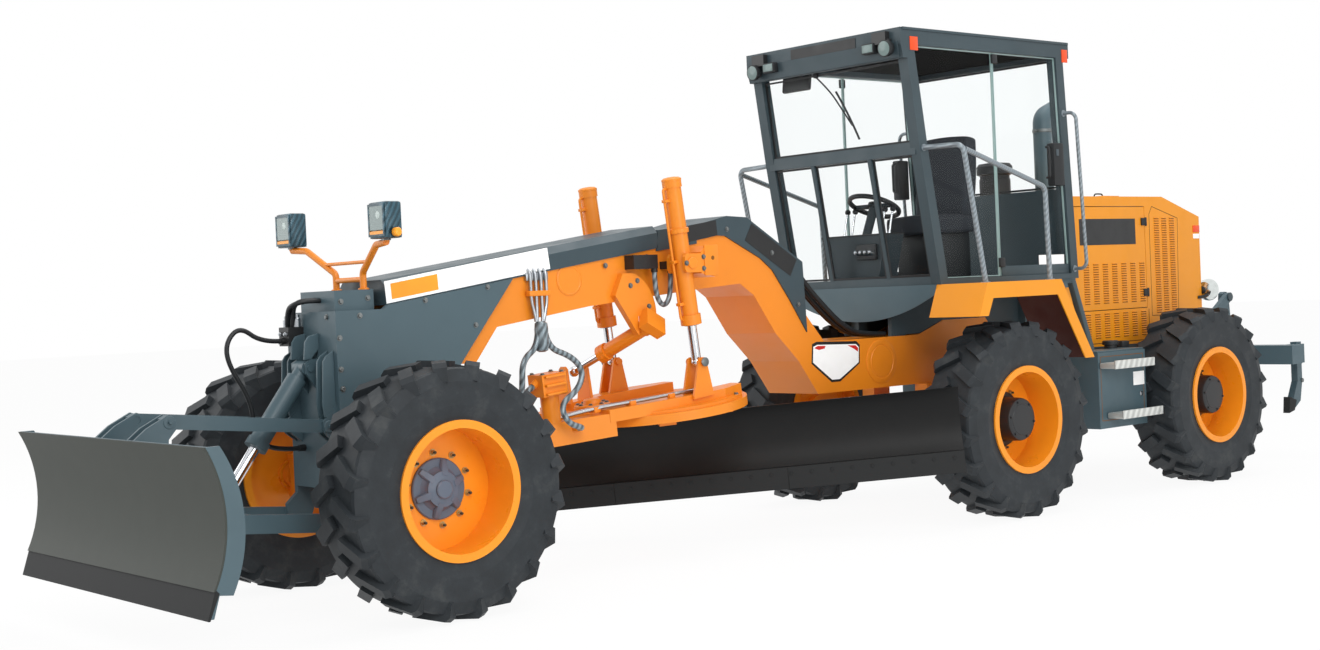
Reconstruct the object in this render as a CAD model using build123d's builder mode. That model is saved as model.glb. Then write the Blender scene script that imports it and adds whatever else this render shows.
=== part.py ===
from build123d import *
from math import atan2, cos, degrees, radians, sin, sqrt, tan
import os

# Motor grader with a front dozer blade and a rear ripper.
# Millimetres and degrees. X runs forward, Y to the machine's left, Z up.
# The origin is on the ground under the middle of the machine's length.

# Axles and wheels
middle_axle_x = -950
front_axle_gap = 4830
rear_axle_gap = 2520
front_track = 1770
rear_track = 2000
tyre_radius = 715
tyre_width = 430
tread_width = 340
lug_height = 40
lug_thickness = 78
lug_angle = 32
lugs_per_side = 20
rim_seat_radius = 357
rim_flange_radius = 389
rim_width = 400
rim_wall = 14
bead_gap = 0.3
disc_thickness = 22
front_disc_inset = 250
rear_disc_inset = 250
front_hub_radius = 95
front_hub_reach = 60
front_hub_depth = 25
front_spindle_length = 90
rear_hub_radius = 148
rear_hub_reach = 180
rear_hub_depth = 60
rear_spindle_length = 130
spindle_radius = 55
running_fit = 0.05
face_gap = 0.3

# Front axle, knuckles and tie rod
kingpin_inset = 170
kingpin_radius = 28
knuckle_height = 200
axle_tube_radius = 85
differential_radius = 170
steer_arm_length = 260
steer_arm_drop = 10
tie_rod_radius = 22

# Main beam
beam_half_width = 250
rail_half_width = 330
beam_underside_z = 970
beam_flange_z = 1340
rail_top_z = 1180
rail_rear_x = -3760
cover_half_width = 262
cover_height = 148
cover_front = (4750, 1744)
cover_rear = (2650, 2040)
cover_chamfer = 45
cover_skin = 8

# Front frame and the linkage of the front blade
front_plate_x = 5100
front_frame_half_width = 283
front_frame_top_z = 1722
link_pin_radius = 22
rod_eye_half = 36
bore_spare = 5
link_side_y = 205
upper_frame_pin = (5153, 1070)
upper_blade_pin = (6112, 1172)
arm_setback = 50
arm_drop = 550
cylinder_frame_pin = (5164, 1402)
cylinder_arm_pin = (5680, 720)
dozer_half_width = 1200
dozer_top_z = 1100
dozer_bottom_z = 270
dozer_face_x = 6372
dozer_hollow = 95
dozer_skin = 16

# Drawbar, circle and moldboard
drawbar_ball = (4250, 790)
circle_centre = (2500, 965)
circle_tilt = 5.0
circle_turn = 44.0
circle_radius = 620
circle_inner_radius = 520
circle_thickness = 60
drawbar_plate = 20
drawbar_top = 110
drawbar_low = -62
worm_place = (590, 60)
worm_radius = 125
worm_height = 62
motor_place = (1050, 222)
motor_radius = 60
motor_height = 174
motor_head_height = 140
moldboard_length = 3660
moldboard_height = 593
moldboard_drop = 690
moldboard_setback = 308
moldboard_hollow = 105
moldboard_skin = 20
moldboard_shift = 220
edge_height = 152
edge_thickness = 16
edge_lap = 12
slide_rod_radius = 26
carrier_y = 400

# Lift cylinders and the cylinder that swings the drawbar
lift_side_y = 440
lift_trunnion = (2592, 1930)
lift_eye = (2509, 1280)
lift_barrel_radius = 57
lift_barrel_above = 545
lift_barrel_below = 400
lift_rod_radius = 32
trunnion_radius = 18
cheek_gap = 63
cheek_thickness = 28
swing_barrel_pin = (2800, 300, 1530)
swing_eye = (2960, -300, 1240)
swing_ball_radius = 58
swing_barrel_radius = 48
swing_rod_radius = 26

# Cab
cab_half_width = 787
cab_roof_z = 3550
post_size = 88
front_post_foot_x = 380
front_post_knee = (595, 2700)
front_post_top_x = 702
rear_post_foot_x = -1190
rear_post_top_x = -1090
roof_rear_x = -1210
roof_front_x = 756
roof_height = 120
glass = 6
door_hinge_x = -300
rail_side_y = 1140
rail_tube_radius = 19

# Hood and engine
hood_half_width = 600
hood_top_z = 2370
hood_base_z = 1150
hood_front_x = -1320
hood_rear_x = -3260
hood_slope_x = -2700
hood_rear_top_z = 2198
hood_wall = 8
door_front_x = -1400
door_rear_x = -2440
door_low_z = 1440
door_high_z = 2290
panel_gap = 6

# Fenders, side boxes and steps
fender_outer_y = 1205
fender_inner_y = 745
fender_top_z = 1716
fender_skin = 10
box_outer_y = 1000
box_front_x = -1140
box_rear_x = -1770
box_low_z = 540
box_top_z = 1130

# Ripper: lower arms and upper links of equal length, one cylinder in the middle
ripper_arm_pin = (-3560, 860)
ripper_link_rise = 290
ripper_arm_length = 620
ripper_arm_angle = 32.0
ripper_cylinder_reach = 420
ripper_tube_reach = 512
ripper_cylinder_pin = (-3540, 1250)
ripper_half_width = 930
ripper_bar_size = 170
ripper_bar = (-4230, 945)
shank_tip_z = 430
shank_thickness = 60

# Routes of the hoses that hang free, from their upper to their lower ends
front_hose_radius = 14
cover_hose_radius = 17
bundle_radius = 19
front_hose_route = [(5224, -140, 1562), (5350, -140, 1562), (5480, -140, 1660), (5572, -140, 1570),
                    (5560, -140, 1440), (5430, -140, 1230), (5420, -140, 1050), (5330, -140, 930),
                    (5140, -140, 930)]
cover_hose_route = [(2738, 320, 1881), (2738, 320, 1730), (2669, 320, 1645), (2600, 320, 1730),
                    (2600, 320, 1876)]
front_bundle_route = [(3690, 300, 1590), (3690, 300, 1450), (3835, 320, 1370), (3840, 315, 1210),
                      (3800, 240, 1130), (3700, 228, 1195)]
rear_bundle_route = [(3640, 300, 1590), (3640, 300, 1440), (3450, 325, 1370), (3375, 335, 1270),
                     (3430, 345, 1160),
                     (3580, 350, 1080), (3570, 400, 960), (3440, 410, 920), (3440, 346, 920)]

# Tow tongue between the rails
tow_bore_x = -3570
tow_bore_radius = 20
tow_plate = 40
tow_plate_z = 1020

wheel_z = tyre_radius
front_axle_x = middle_axle_x + front_axle_gap
rear_axle_x = middle_axle_x - rear_axle_gap

os.makedirs("parts", exist_ok=True)


def ahead(distance):
    """X of a place measured forward from the middle axle."""
    return middle_axle_x + distance


def side(points):
    """Side-view points, given as distance ahead of the middle axle and height."""
    return [(ahead(x), z) for x, z in points]


def side_plane(y):
    """Upright lengthwise plane at y; an extrusion from it runs to the right."""
    return Plane(origin=(0, y, 0), x_dir=(1, 0, 0), z_dir=(0, -1, 0))


def outline(plane, points, radius=0):
    """Straight-sided closed outline, with its corners rounded if a radius is given."""
    with BuildSketch(plane) as shape:
        with BuildLine():
            Polyline(*points, close=True)
        make_face()
        if radius:
            fillet(shape.vertices(), radius)
    return shape.sketch


def plate(points, y, thickness, radius=0):
    """Add a side-view plate whose middle lies at y."""
    extrude(outline(side_plane(y + thickness / 2), points, radius), amount=thickness)


def bar(start, end, radius, mode=Mode.ADD):
    """Add a round bar between two points."""
    run = Vector(*end) - Vector(*start)
    with BuildSketch(Plane(origin=start, z_dir=run)) as section:
        Circle(radius)
    extrude(section.sketch, amount=run.length, mode=mode)


def block(low, high, mode=Mode.ADD):
    """Add a box given by its lowest and highest corners."""
    with BuildSketch(Plane.XY.offset(low[2])) as base:
        with Locations(((low[0] + high[0]) / 2, (low[1] + high[1]) / 2)):
            Rectangle(high[0] - low[0], high[1] - low[1])
    extrude(base.sketch, amount=high[2] - low[2], mode=mode)


def pipe(points, radius, bend):
    """Add a tube bent through the points."""
    with BuildLine() as path:
        FilletPolyline(*points, radius=bend)
    with BuildSketch(Plane(origin=points[0], z_dir=path.line % 0)) as section:
        Circle(radius)
    sweep(sections=section.sketch, path=path.line)


def gland(route, radius, depth):
    """Add the round socket that a hose's last run ends against."""
    end = Vector(*route[-1])
    run = (end - Vector(*route[-2])).normalized()
    bar((ahead(end.X), end.Y, end.Z), (ahead(end.X) + run.X * depth, end.Y + run.Y * depth,
                                       end.Z + run.Z * depth), radius)


hoses = tuple(
    (name, [(ahead(x), y, z) for x, y, z in route], radius, bend)
    for name, route, radius, bend in (
        ("front_hose", front_hose_route, front_hose_radius, 45),
        ("cover_hose", cover_hose_route, cover_hose_radius, 50),
        ("front_bundle", front_bundle_route, bundle_radius, 45),
        ("rear_bundle", rear_bundle_route, bundle_radius, 45),
    )
)


def save(part, name):
    part.label = name
    export_step(part, f"parts/{name}.step")


def wheel_section(centre, outward):
    """Plane through a wheel's axis: local x is the radius, local y runs outward."""
    return Plane(origin=centre, x_dir=(0, 0, 1), z_dir=(-outward, 0, 0))


# Tyres: one carcass with chevron lugs that wrap over the shoulder
tread_radius = tyre_radius - lug_height
half_width = tyre_width / 2
bead_half = rim_width / 2 - rim_wall
lug_overhang = lug_thickness / 2 * sin(radians(lug_angle))
lug_outer = half_width + 6 - lug_overhang
lug_inner = 14
lug_middle = (lug_outer + lug_inner) / 2
lug_reach = (lug_outer - lug_inner) * tan(radians(lug_angle)) / 2
lug_reach += lug_thickness / 2 * cos(radians(lug_angle))
lug_top = sqrt(tyre_radius**2 - lug_reach**2)
tyre_profile = [
    # radius, distance from the wheel's middle plane
    (rim_seat_radius + bead_gap, -bead_half),
    (rim_flange_radius + 10, -bead_half),
    (470, -half_width + 12),
    (600, -half_width + 8),
    (tread_radius - 8, -tread_width / 2 - 18),
    (tread_radius, -tread_width / 2),
    (tread_radius, tread_width / 2),
    (tread_radius - 8, tread_width / 2 + 18),
    (600, half_width - 8),
    (470, half_width - 12),
    (rim_flange_radius + 10, bead_half),
    (rim_seat_radius + bead_gap, bead_half),
]
lug_profile = [
    # distance from the middle plane, radius
    (lug_inner, lug_top),
    (lug_outer - 22, lug_top),
    (lug_outer, lug_top - 26),
    (lug_outer, tyre_radius - 112),
    (lug_outer - 30, tyre_radius - 118),
    (tread_width / 2 - 20, tread_radius - 24),
    (lug_inner, tread_radius - 12),
]
with BuildPart() as tyre_form:
    with BuildSketch(wheel_section((0, 0, 0), 1)):
        with BuildLine():
            Polyline(*tyre_profile, close=True)
        make_face()
    revolve(axis=Axis.Y)
lugs = []
for hand in (1, -1):
    lug_plane = Plane(
        origin=(-lug_middle * tan(radians(lug_angle)), 0, 0),
        x_dir=(sin(radians(lug_angle)), hand * cos(radians(lug_angle)), 0),
        z_dir=(hand * cos(radians(lug_angle)), -sin(radians(lug_angle)), 0),
    )
    stretch = 1 / cos(radians(lug_angle))
    slanted = [(y * stretch, r) for y, r in lug_profile]
    lug = extrude(outline(lug_plane, slanted), lug_thickness / 2, both=True, mode=Mode.PRIVATE)
    for number in range(lugs_per_side):
        turn = 360 / lugs_per_side * (number + (0.25 if hand > 0 else 0.75))
        lugs.append(lug.rotate(Axis.Y, turn))
with tyre_form:
    add(lugs)

# Hubs: disc inset, hub radius, reach outside the disc, depth behind it, spindle length
front_hub = (front_disc_inset, front_hub_radius, front_hub_reach, front_hub_depth, front_spindle_length)
rear_hub = (rear_disc_inset, rear_hub_radius, rear_hub_reach, rear_hub_depth, rear_spindle_length)
wheels = (
    # name, axle x, side, track, hub
    ("front_left", front_axle_x, 1, front_track, front_hub),
    ("front_right", front_axle_x, -1, front_track, front_hub),
    ("middle_left", middle_axle_x, 1, rear_track, rear_hub),
    ("middle_right", middle_axle_x, -1, rear_track, rear_hub),
    ("rear_left", rear_axle_x, 1, rear_track, rear_hub),
    ("rear_right", rear_axle_x, -1, rear_track, rear_hub),
)
for name, axle_x, outward, track, hub in wheels:
    inset, hub_radius, hub_reach, hub_depth, spindle_length = hub
    centre = (axle_x, outward * track / 2, wheel_z)
    with BuildPart() as tyre:
        with Locations(Location(centre)):
            add(tyre_form.part)
    save(tyre.part, "tyre_" + name)
    disc_face = rim_width / 2 - inset
    spindle_inner = disc_face - disc_thickness
    hub_back = spindle_inner - hub_depth
    rim_half = rim_width / 2
    barrel_profile = [
        # radius, outward distance from the wheel's middle plane
        (rim_seat_radius - rim_wall, -rim_half),
        (rim_flange_radius, -rim_half),
        (rim_flange_radius, -bead_half - face_gap),
        (rim_seat_radius, -bead_half - face_gap),
        (rim_seat_radius, bead_half + face_gap),
        (rim_flange_radius, bead_half + face_gap),
        (rim_flange_radius, rim_half),
        (rim_seat_radius - rim_wall, rim_half),
    ]
    disc_profile = [
        (0, disc_face + hub_reach),
        (hub_radius, disc_face + hub_reach),
        (hub_radius, disc_face),
        (rim_seat_radius - rim_wall / 2, disc_face),
        (rim_seat_radius - rim_wall / 2, disc_face - disc_thickness),
        (hub_radius, disc_face - disc_thickness),
        (hub_radius, hub_back),
        (spindle_radius + running_fit, hub_back),
        (spindle_radius + running_fit, hub_back + spindle_length - 10),
        (0, hub_back + spindle_length - 10),
    ]
    with BuildPart() as rim:
        with BuildSketch(wheel_section(centre, outward)):
            with BuildLine():
                Polyline(*barrel_profile, close=True)
            make_face()
            with BuildLine():
                Polyline(*disc_profile, close=True)
            make_face()
        revolve(axis=Axis(centre, (0, 1, 0)))
    save(rim.part, "rim_" + name)

# Front axle: a driven housing with a fork for each kingpin
kingpin_y = front_track / 2 - kingpin_inset
steer_arm_x = front_axle_x - steer_arm_length
fork_ear = 30
knuckle_half = knuckle_height / 2
with BuildPart() as front_axle:
    bar((front_axle_x, -kingpin_y + 110, wheel_z), (front_axle_x, kingpin_y - 110, wheel_z),
        axle_tube_radius)
    with Locations(Location((front_axle_x, 0, wheel_z), (90, 0, 0))):
        Cylinder(differential_radius, 190)
        Cylinder(differential_radius - 50, 330)
    for hand in (1, -1):
        for level in (1, -1):
            near = wheel_z + level * (knuckle_half + face_gap)
            far = near + level * fork_ear
            low, high = min(near, far), max(near, far)
            block(
                (front_axle_x - 55, min(hand * (kingpin_y - 130), hand * (kingpin_y + 45)), low),
                (front_axle_x + 55, max(hand * (kingpin_y - 130), hand * (kingpin_y + 45)), high),
            )
        block(
            (front_axle_x - 55, min(hand * (kingpin_y - 130), hand * (kingpin_y - 90)),
             wheel_z - knuckle_half - fork_ear),
            (front_axle_x + 55, max(hand * (kingpin_y - 130), hand * (kingpin_y - 90)),
             wheel_z + knuckle_half + fork_ear),
        )
    for hand in (1, -1):
        with BuildSketch(Plane.XY.offset(wheel_z - knuckle_half - 60)) as bore:
            with Locations((front_axle_x, hand * kingpin_y)):
                Circle(kingpin_radius + running_fit)
        extrude(bore.sketch, amount=knuckle_height + 120, mode=Mode.SUBTRACT)
    # Saddle block on which the front frame rests
    block((front_axle_x - 90, -120, wheel_z + 150), (front_axle_x + 90, 120, wheel_z + 245))

front_disc_face = rim_width / 2 - front_disc_inset
front_hub_back = front_disc_face - disc_thickness - front_hub_depth
for name, hand in (("left", 1), ("right", -1)):
    with BuildPart() as knuckle:
        pin_start = wheel_z - knuckle_half - face_gap - fork_ear
        bar((front_axle_x, hand * kingpin_y, pin_start),
            (front_axle_x, hand * kingpin_y,
             pin_start + 2 * (knuckle_half + face_gap + fork_ear)), kingpin_radius)
        bar((front_axle_x, hand * kingpin_y, wheel_z - knuckle_half),
            (front_axle_x, hand * kingpin_y, wheel_z + knuckle_half), 62)
        hub_plane_y = hand * (front_track / 2 + front_hub_back)
        bar((front_axle_x, hand * kingpin_y, wheel_z), (front_axle_x, hub_plane_y - hand * 6, wheel_z), 80)
        bar((front_axle_x, hub_plane_y - hand * 6, wheel_z),
            (front_axle_x, hub_plane_y + hand * (front_spindle_length - 20), wheel_z), spindle_radius)
        # Steering arm reaching back to the tie rod
        arm_low = wheel_z - knuckle_half + steer_arm_drop
        block((steer_arm_x - 30, hand * kingpin_y - 28, arm_low),
              (front_axle_x, hand * kingpin_y + 28, arm_low + 34))
        bar((steer_arm_x, hand * kingpin_y, arm_low + 34), (steer_arm_x, hand * kingpin_y, arm_low + 84),
            14)
    save(knuckle.part, "knuckle_" + name)

tie_rod_z = wheel_z - knuckle_half + steer_arm_drop + 34 + 25
with BuildPart() as tie_rod:
    bar((steer_arm_x, -kingpin_y + 20, tie_rod_z), (steer_arm_x, kingpin_y - 20, tie_rod_z), tie_rod_radius)
    for hand in (1, -1):
        bar((steer_arm_x, hand * kingpin_y, tie_rod_z - 24),
            (steer_arm_x, hand * kingpin_y, tie_rod_z + 24), 32)
    for hand in (1, -1):
        with BuildSketch(Plane.XY.offset(tie_rod_z - 40)) as bore:
            with Locations((steer_arm_x, hand * kingpin_y)):
                Circle(14 + running_fit)
        extrude(bore.sketch, amount=80, mode=Mode.SUBTRACT)
save(tie_rod.part, "tie_rod")

# Middle and rear axles: banjo housings bolted under the rear frame
rear_disc_face = rim_width / 2 - rear_disc_inset
rear_hub_back = rear_disc_face - disc_thickness - rear_hub_depth
with BuildPart() as drive_axles:
    for axle_x in (middle_axle_x, rear_axle_x):
        hub_y = rear_track / 2 + rear_hub_back
        bar((axle_x, -hub_y + 6, wheel_z), (axle_x, hub_y - 6, wheel_z), axle_tube_radius)
        spindle_y = hub_y + rear_spindle_length - 20
        bar((axle_x, -spindle_y, wheel_z), (axle_x, spindle_y, wheel_z), spindle_radius)
        with Locations(Location((axle_x, 0, wheel_z), (90, 0, 0))):
            Cylinder(differential_radius, 190)
            Cylinder(differential_radius - 50, 360)
        for hand in (1, -1):
            pad_y = hand * (rail_half_width - 60)
            block((axle_x - 90, pad_y - 60, wheel_z), (axle_x + 90, pad_y + 60, beam_underside_z))
with BuildPart() as axles:
    add(front_axle.part)
    add(drive_axles.part)
save(axles.part, "axles")

# Main beam: gooseneck in front, two side rails under the engine behind
cover_slope = (cover_rear[1] - cover_front[1]) / (cover_front[0] - cover_rear[0])
cover_top_line = [(2300, 2190), (2020, 2250), (1830, 2240), (1300, 1920), (1280, 1420)]
beam_outline = side([
    # ahead of the middle axle, height
    (cover_front[0] - 60, cover_front[1] + 60 * cover_slope),
    cover_rear,
    (2300, 2190 - 16),
    (2020, 2250 - cover_skin - 4),
    (1834, 2240 - cover_skin - 4),
    (1316, 1920 - cover_skin),
    (1292, 1560),
    (1100, beam_flange_z + 2),
    (70, beam_flange_z + 2),
    (-220, 1440),
    (-730, 1440),
    (-900, rail_top_z + 60),
    (-900, beam_underside_z),
    (1185, beam_underside_z),
    (1365, 1214),
    (1587, 1427),
    (1779, 1698),
    (1907, 1784),
    (2326, 1756),
    (3245, 1678),
    (3963, 1580),
    (4130, 1370),
    (4600, 1370),
])
with BuildPart() as main_frame:
    plate(beam_outline, 0, 2 * beam_half_width)
    pin_x, pin_z = ahead(lift_trunnion[0]), lift_trunnion[1]
    for hand in (1, -1):
        # Arm behind the lift cylinder and the two cheeks that hold its trunnion pins
        arm_shape = [
            (pin_x - 200, pin_z - 95), (pin_x - 80, pin_z - 70), (pin_x - 80, pin_z + 70), (pin_x - 120,
                                                                                            pin_z + 110),
            (pin_x - 200, pin_z + 110),
        ]
        outer = lift_side_y + cheek_gap + cheek_thickness
        plate(arm_shape, hand * (beam_half_width - 20 + outer) / 2, outer - beam_half_width + 20)
        for step in (-1, 1):
            plate([(pin_x - 120, pin_z - 62), (pin_x + 45, pin_z - 62), (pin_x + 60, pin_z - 40),
                   (pin_x + 60, pin_z + 40),
                   (pin_x + 45, pin_z + 62), (pin_x - 120, pin_z + 62)],
                  hand * lift_side_y + step * (cheek_gap + cheek_thickness / 2), cheek_thickness)
        bar((pin_x, hand * lift_side_y - 120, pin_z), (pin_x, hand * lift_side_y + 120, pin_z),
            trunnion_radius + running_fit, mode=Mode.SUBTRACT)
    # Curved plate and clamp that carry the swing cylinder
    swing_run = (Vector(*swing_eye) - Vector(*swing_barrel_pin)).normalized()
    swing_top = Vector(ahead(swing_barrel_pin[0]), *swing_barrel_pin[1:])
    with BuildSketch(side_plane(beam_half_width + 50)):
        with BuildLine():
            Polyline((ahead(3060), 1740), (ahead(2990), 1880), (ahead(2900), 1880))
            ThreePointArc((ahead(2900), 1880), (ahead(2730), 1690), (ahead(2740), 1500))
            Polyline((ahead(2740), 1500), (ahead(2790), 1465), (ahead(2880), 1480), (ahead(3060), 1740))
        make_face()
    extrude(amount=50)
    block((swing_top.X - 72, beam_half_width, 1400), (swing_top.X + 72, beam_half_width + 60, 1598),
          mode=Mode.SUBTRACT)
    clamp_plane = Plane(origin=swing_top - swing_run * 80, x_dir=(swing_run.Z, 0, -swing_run.X),
                        z_dir=swing_run)
    with BuildSketch(clamp_plane):
        Rectangle(170, 130)
    extrude(amount=76)
    with Locations(Location(swing_top)):
        Sphere(swing_ball_radius + face_gap, mode=Mode.SUBTRACT)
save(main_frame.part, "main_frame")

# Covers of the beam: a long chamfered box and the cap of the gooseneck
cap_outer = side(cover_top_line)
cap_inner = side([(1437, 1653), (1600, 1870), (1713, 1956), (2036, 2113), (2300, 2130)])
with BuildPart() as beam_covers:
    plate(side([
        cover_front,
        (cover_front[0], cover_front[1] + cover_height),
        (cover_rear[0], cover_rear[1] + cover_height),
        cover_rear,
    ]), 0, 2 * cover_half_width)
    cover_middle_z = (cover_front[1] + cover_rear[1] + cover_height) / 2
    top_edges = beam_covers.edges().filter_by(Plane.XY, reverse=True).filter_by(
        lambda edge: edge.length > 1500 and edge.center().Z > cover_middle_z
    )
    chamfer(top_edges, cover_chamfer)
    cap_skin = cover_half_width - beam_half_width
    for hand in (1, -1):
        plate(cap_outer + cap_inner, hand * (beam_half_width + cap_skin / 2), cap_skin)
    plate(side([
        (2300, 2190),
        (2020, 2250),
        (1830, 2240),
        (1300, 1920),
        (1285, 1560),
        (1292, 1560),
        (1316, 1920 - cover_skin),
        (1834, 2240 - cover_skin - 4),
        (2020, 2250 - cover_skin - 4),
        (2300, 2190 - 16),
    ]), 0, 2 * cover_half_width)
save(beam_covers.part, "beam_covers")

# Front frame: a box of plates with brackets for the blade linkage and the drawbar
frame_wall = front_frame_half_width - beam_half_width
frame_back_z = cover_front[1] + cover_slope * (cover_front[0] - 3850)
frame_side = side([
    (front_plate_x, front_frame_top_z),
    (front_plate_x, 660),
    (5168, 600),
    (5168, 450),
    (5040, 440),
    (4965, 640),
    (4965, 960),
    (4560, 960),
    (4245, 1390),
    (3850, frame_back_z),
    (cover_front[0], cover_front[1]),
    (4780, front_frame_top_z),
])
lower_frame_pin = (upper_frame_pin[0] - arm_setback, upper_frame_pin[1] - arm_drop)
lower_blade_pin = (upper_blade_pin[0] - arm_setback, upper_blade_pin[1] - arm_drop)
with BuildPart() as front_frame:
    for hand in (1, -1):
        plate(frame_side, hand * (beam_half_width + frame_wall / 2), frame_wall)
    block((ahead(front_plate_x) - 25, -beam_half_width, 700),
          (ahead(front_plate_x), beam_half_width, front_frame_top_z))
    block((ahead(4780), -beam_half_width, front_frame_top_z - 25),
          (ahead(front_plate_x), beam_half_width, front_frame_top_z))
    block((ahead(4740), -beam_half_width, 960), (ahead(4920), beam_half_width, 1010))
    # Ears of the upper links and of the blade cylinder
    for hand in (1, -1):
        for step in (-34, 34):
            plate(side([(5095, 960), (5160, 1010), (5190, 1045), (5190, 1100), (5165, 1120), (5095, 1200)]),
                  hand * link_side_y + step, 20)
        plate(side([(5095, 1240), (5190, 1370), (5195, 1430), (5160, 1450), (5095, 1520)]), hand * 74, 20)
    # Post and two ears that hold the drawbar's swivel
    hitch_x = ahead(drawbar_ball[0])
    ball_z = drawbar_ball[1]
    block((hitch_x + 85, -75, ball_z - 95), (hitch_x + 190, 75, 1370))
    for low in (ball_z + 58, ball_z - 95):
        block((hitch_x - 52, -60, low), (hitch_x + 90, 60, low + 37))
    with BuildSketch(Plane.XY.offset(ball_z - 120)) as bore:
        with Locations((hitch_x, 0)):
            Circle(30 + running_fit)
    extrude(bore.sketch, amount=240, mode=Mode.SUBTRACT)
    # Small box on top in front
    block((ahead(4790), -195, front_frame_top_z), (ahead(5050), 195, 1840))
    for hand in (1, -1):
        bar((ahead(upper_frame_pin[0]), hand * (link_side_y + 60), upper_frame_pin[1]),
            (ahead(upper_frame_pin[0]), hand * (link_side_y - 60), upper_frame_pin[1]),
            link_pin_radius + running_fit, mode=Mode.SUBTRACT)
        bar((ahead(lower_frame_pin[0]), hand * (beam_half_width - 20), lower_frame_pin[1]),
            (ahead(lower_frame_pin[0]), hand * (front_frame_half_width + 20), lower_frame_pin[1]),
            link_pin_radius + running_fit, mode=Mode.SUBTRACT)
    bar((ahead(cylinder_frame_pin[0]), 95, cylinder_frame_pin[1]),
        (ahead(cylinder_frame_pin[0]), -95,
         cylinder_frame_pin[1]), link_pin_radius + running_fit, mode=Mode.SUBTRACT)

# Upper links and lower arms of the front blade
with BuildPart() as blade_links:
    for hand in (1, -1):
        y = hand * link_side_y
        low, high = upper_frame_pin, upper_blade_pin
        plate(side([(low[0], low[1] - 38), (high[0], high[1] - 38), (high[0] + 36, high[1] - 10),
                    (high[0] + 36, high[1] + 20), (high[0], high[1] + 38), (low[0], low[1] + 38),
                    (low[0] - 36, low[1] + 15), (low[0] - 36, low[1] - 15)]), y, 46)
        for pin in (low, high):
            bar((ahead(pin[0]), y - 44, pin[1]), (ahead(pin[0]), y + 44, pin[1]), link_pin_radius)
save(blade_links.part, "blade_links")

arm_y = front_frame_half_width + face_gap + 22
with BuildPart() as blade_arms:
    for hand in (1, -1):
        y = hand * arm_y
        low, high = lower_frame_pin, lower_blade_pin
        plate(side([(low[0], low[1] - 52), (high[0], high[1] - 52), (high[0] + 46, high[1] - 15),
                    (high[0] + 46, high[1] + 15), (high[0], high[1] + 52), (low[0], low[1] + 52),
                    (low[0] - 44, low[1] + 15), (low[0] - 44, low[1] - 15)]), y, 44)
        bar((ahead(low[0]), y, low[1]), (ahead(low[0]), y - hand * (22 + face_gap + frame_wall), low[1]),
            link_pin_radius)
        bar((ahead(high[0]), y, high[1]), (ahead(high[0]), y - hand * 75, high[1]), link_pin_radius)
    slope = (lower_blade_pin[1] - lower_frame_pin[1]) / (lower_blade_pin[0] - lower_frame_pin[0])
    cross_z = lower_frame_pin[1] + slope * (cylinder_arm_pin[0] - lower_frame_pin[0])
    bar((ahead(cylinder_arm_pin[0]), -arm_y, cross_z), (ahead(cylinder_arm_pin[0]), arm_y, cross_z), 50)
    for hand in (1, -1):
        plate(side([(cylinder_arm_pin[0] - 48, cross_z), (cylinder_arm_pin[0] + 48, cross_z),
                    (cylinder_arm_pin[0] + 30, cylinder_arm_pin[1] + 30),
                    (cylinder_arm_pin[0] - 30, cylinder_arm_pin[1] + 30)]), hand * 52, 20)
        bar((ahead(cylinder_arm_pin[0]), hand * 52, cylinder_arm_pin[1]),
            (ahead(cylinder_arm_pin[0]), hand * 78, cylinder_arm_pin[1]), 26)
save(blade_arms.part, "blade_arms")


def cylinder_pair(top, low, barrel_radius, rod_radius, barrel_length, rod_inside, stroke_in, eye_radius):
    """Barrel with its rear eye and rod with its front eye, as two parts."""
    top, low = Vector(*top), Vector(*low)
    run = (low - top).normalized()
    gland = top + run * barrel_length
    across = Vector(0, 1, 0)
    with BuildPart() as barrel:
        bar(top, top + run * (eye_radius + 32), rod_radius + 10)
        bar(top + run * (eye_radius + 30), gland, barrel_radius)
        bar(gland - run * 50, gland, barrel_radius + 9)
        bar(top + across * (barrel_radius + 3), top - across * (barrel_radius + 3), eye_radius)
        bar(top + across * (barrel_radius + 34), top - across * (barrel_radius + 34), link_pin_radius)
        bar(gland - run * (rod_inside + stroke_in + bore_spare), gland + run * 5, rod_radius + running_fit,
            mode=Mode.SUBTRACT)
    with BuildPart() as rod:
        bar(gland - run * rod_inside, low, rod_radius)
        bar(low + across * rod_eye_half, low - across * rod_eye_half, eye_radius)
    return barrel.part, rod.part


blade_barrel, blade_rod = cylinder_pair(
    (ahead(cylinder_frame_pin[0]), 0, cylinder_frame_pin[1]),
    (ahead(cylinder_arm_pin[0]), 0, cylinder_arm_pin[1]),
    58, 32, 545, 198, 260, 42,
)
save(blade_barrel, "blade_cylinder_barrel")
save(blade_rod, "blade_cylinder_rod")

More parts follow.
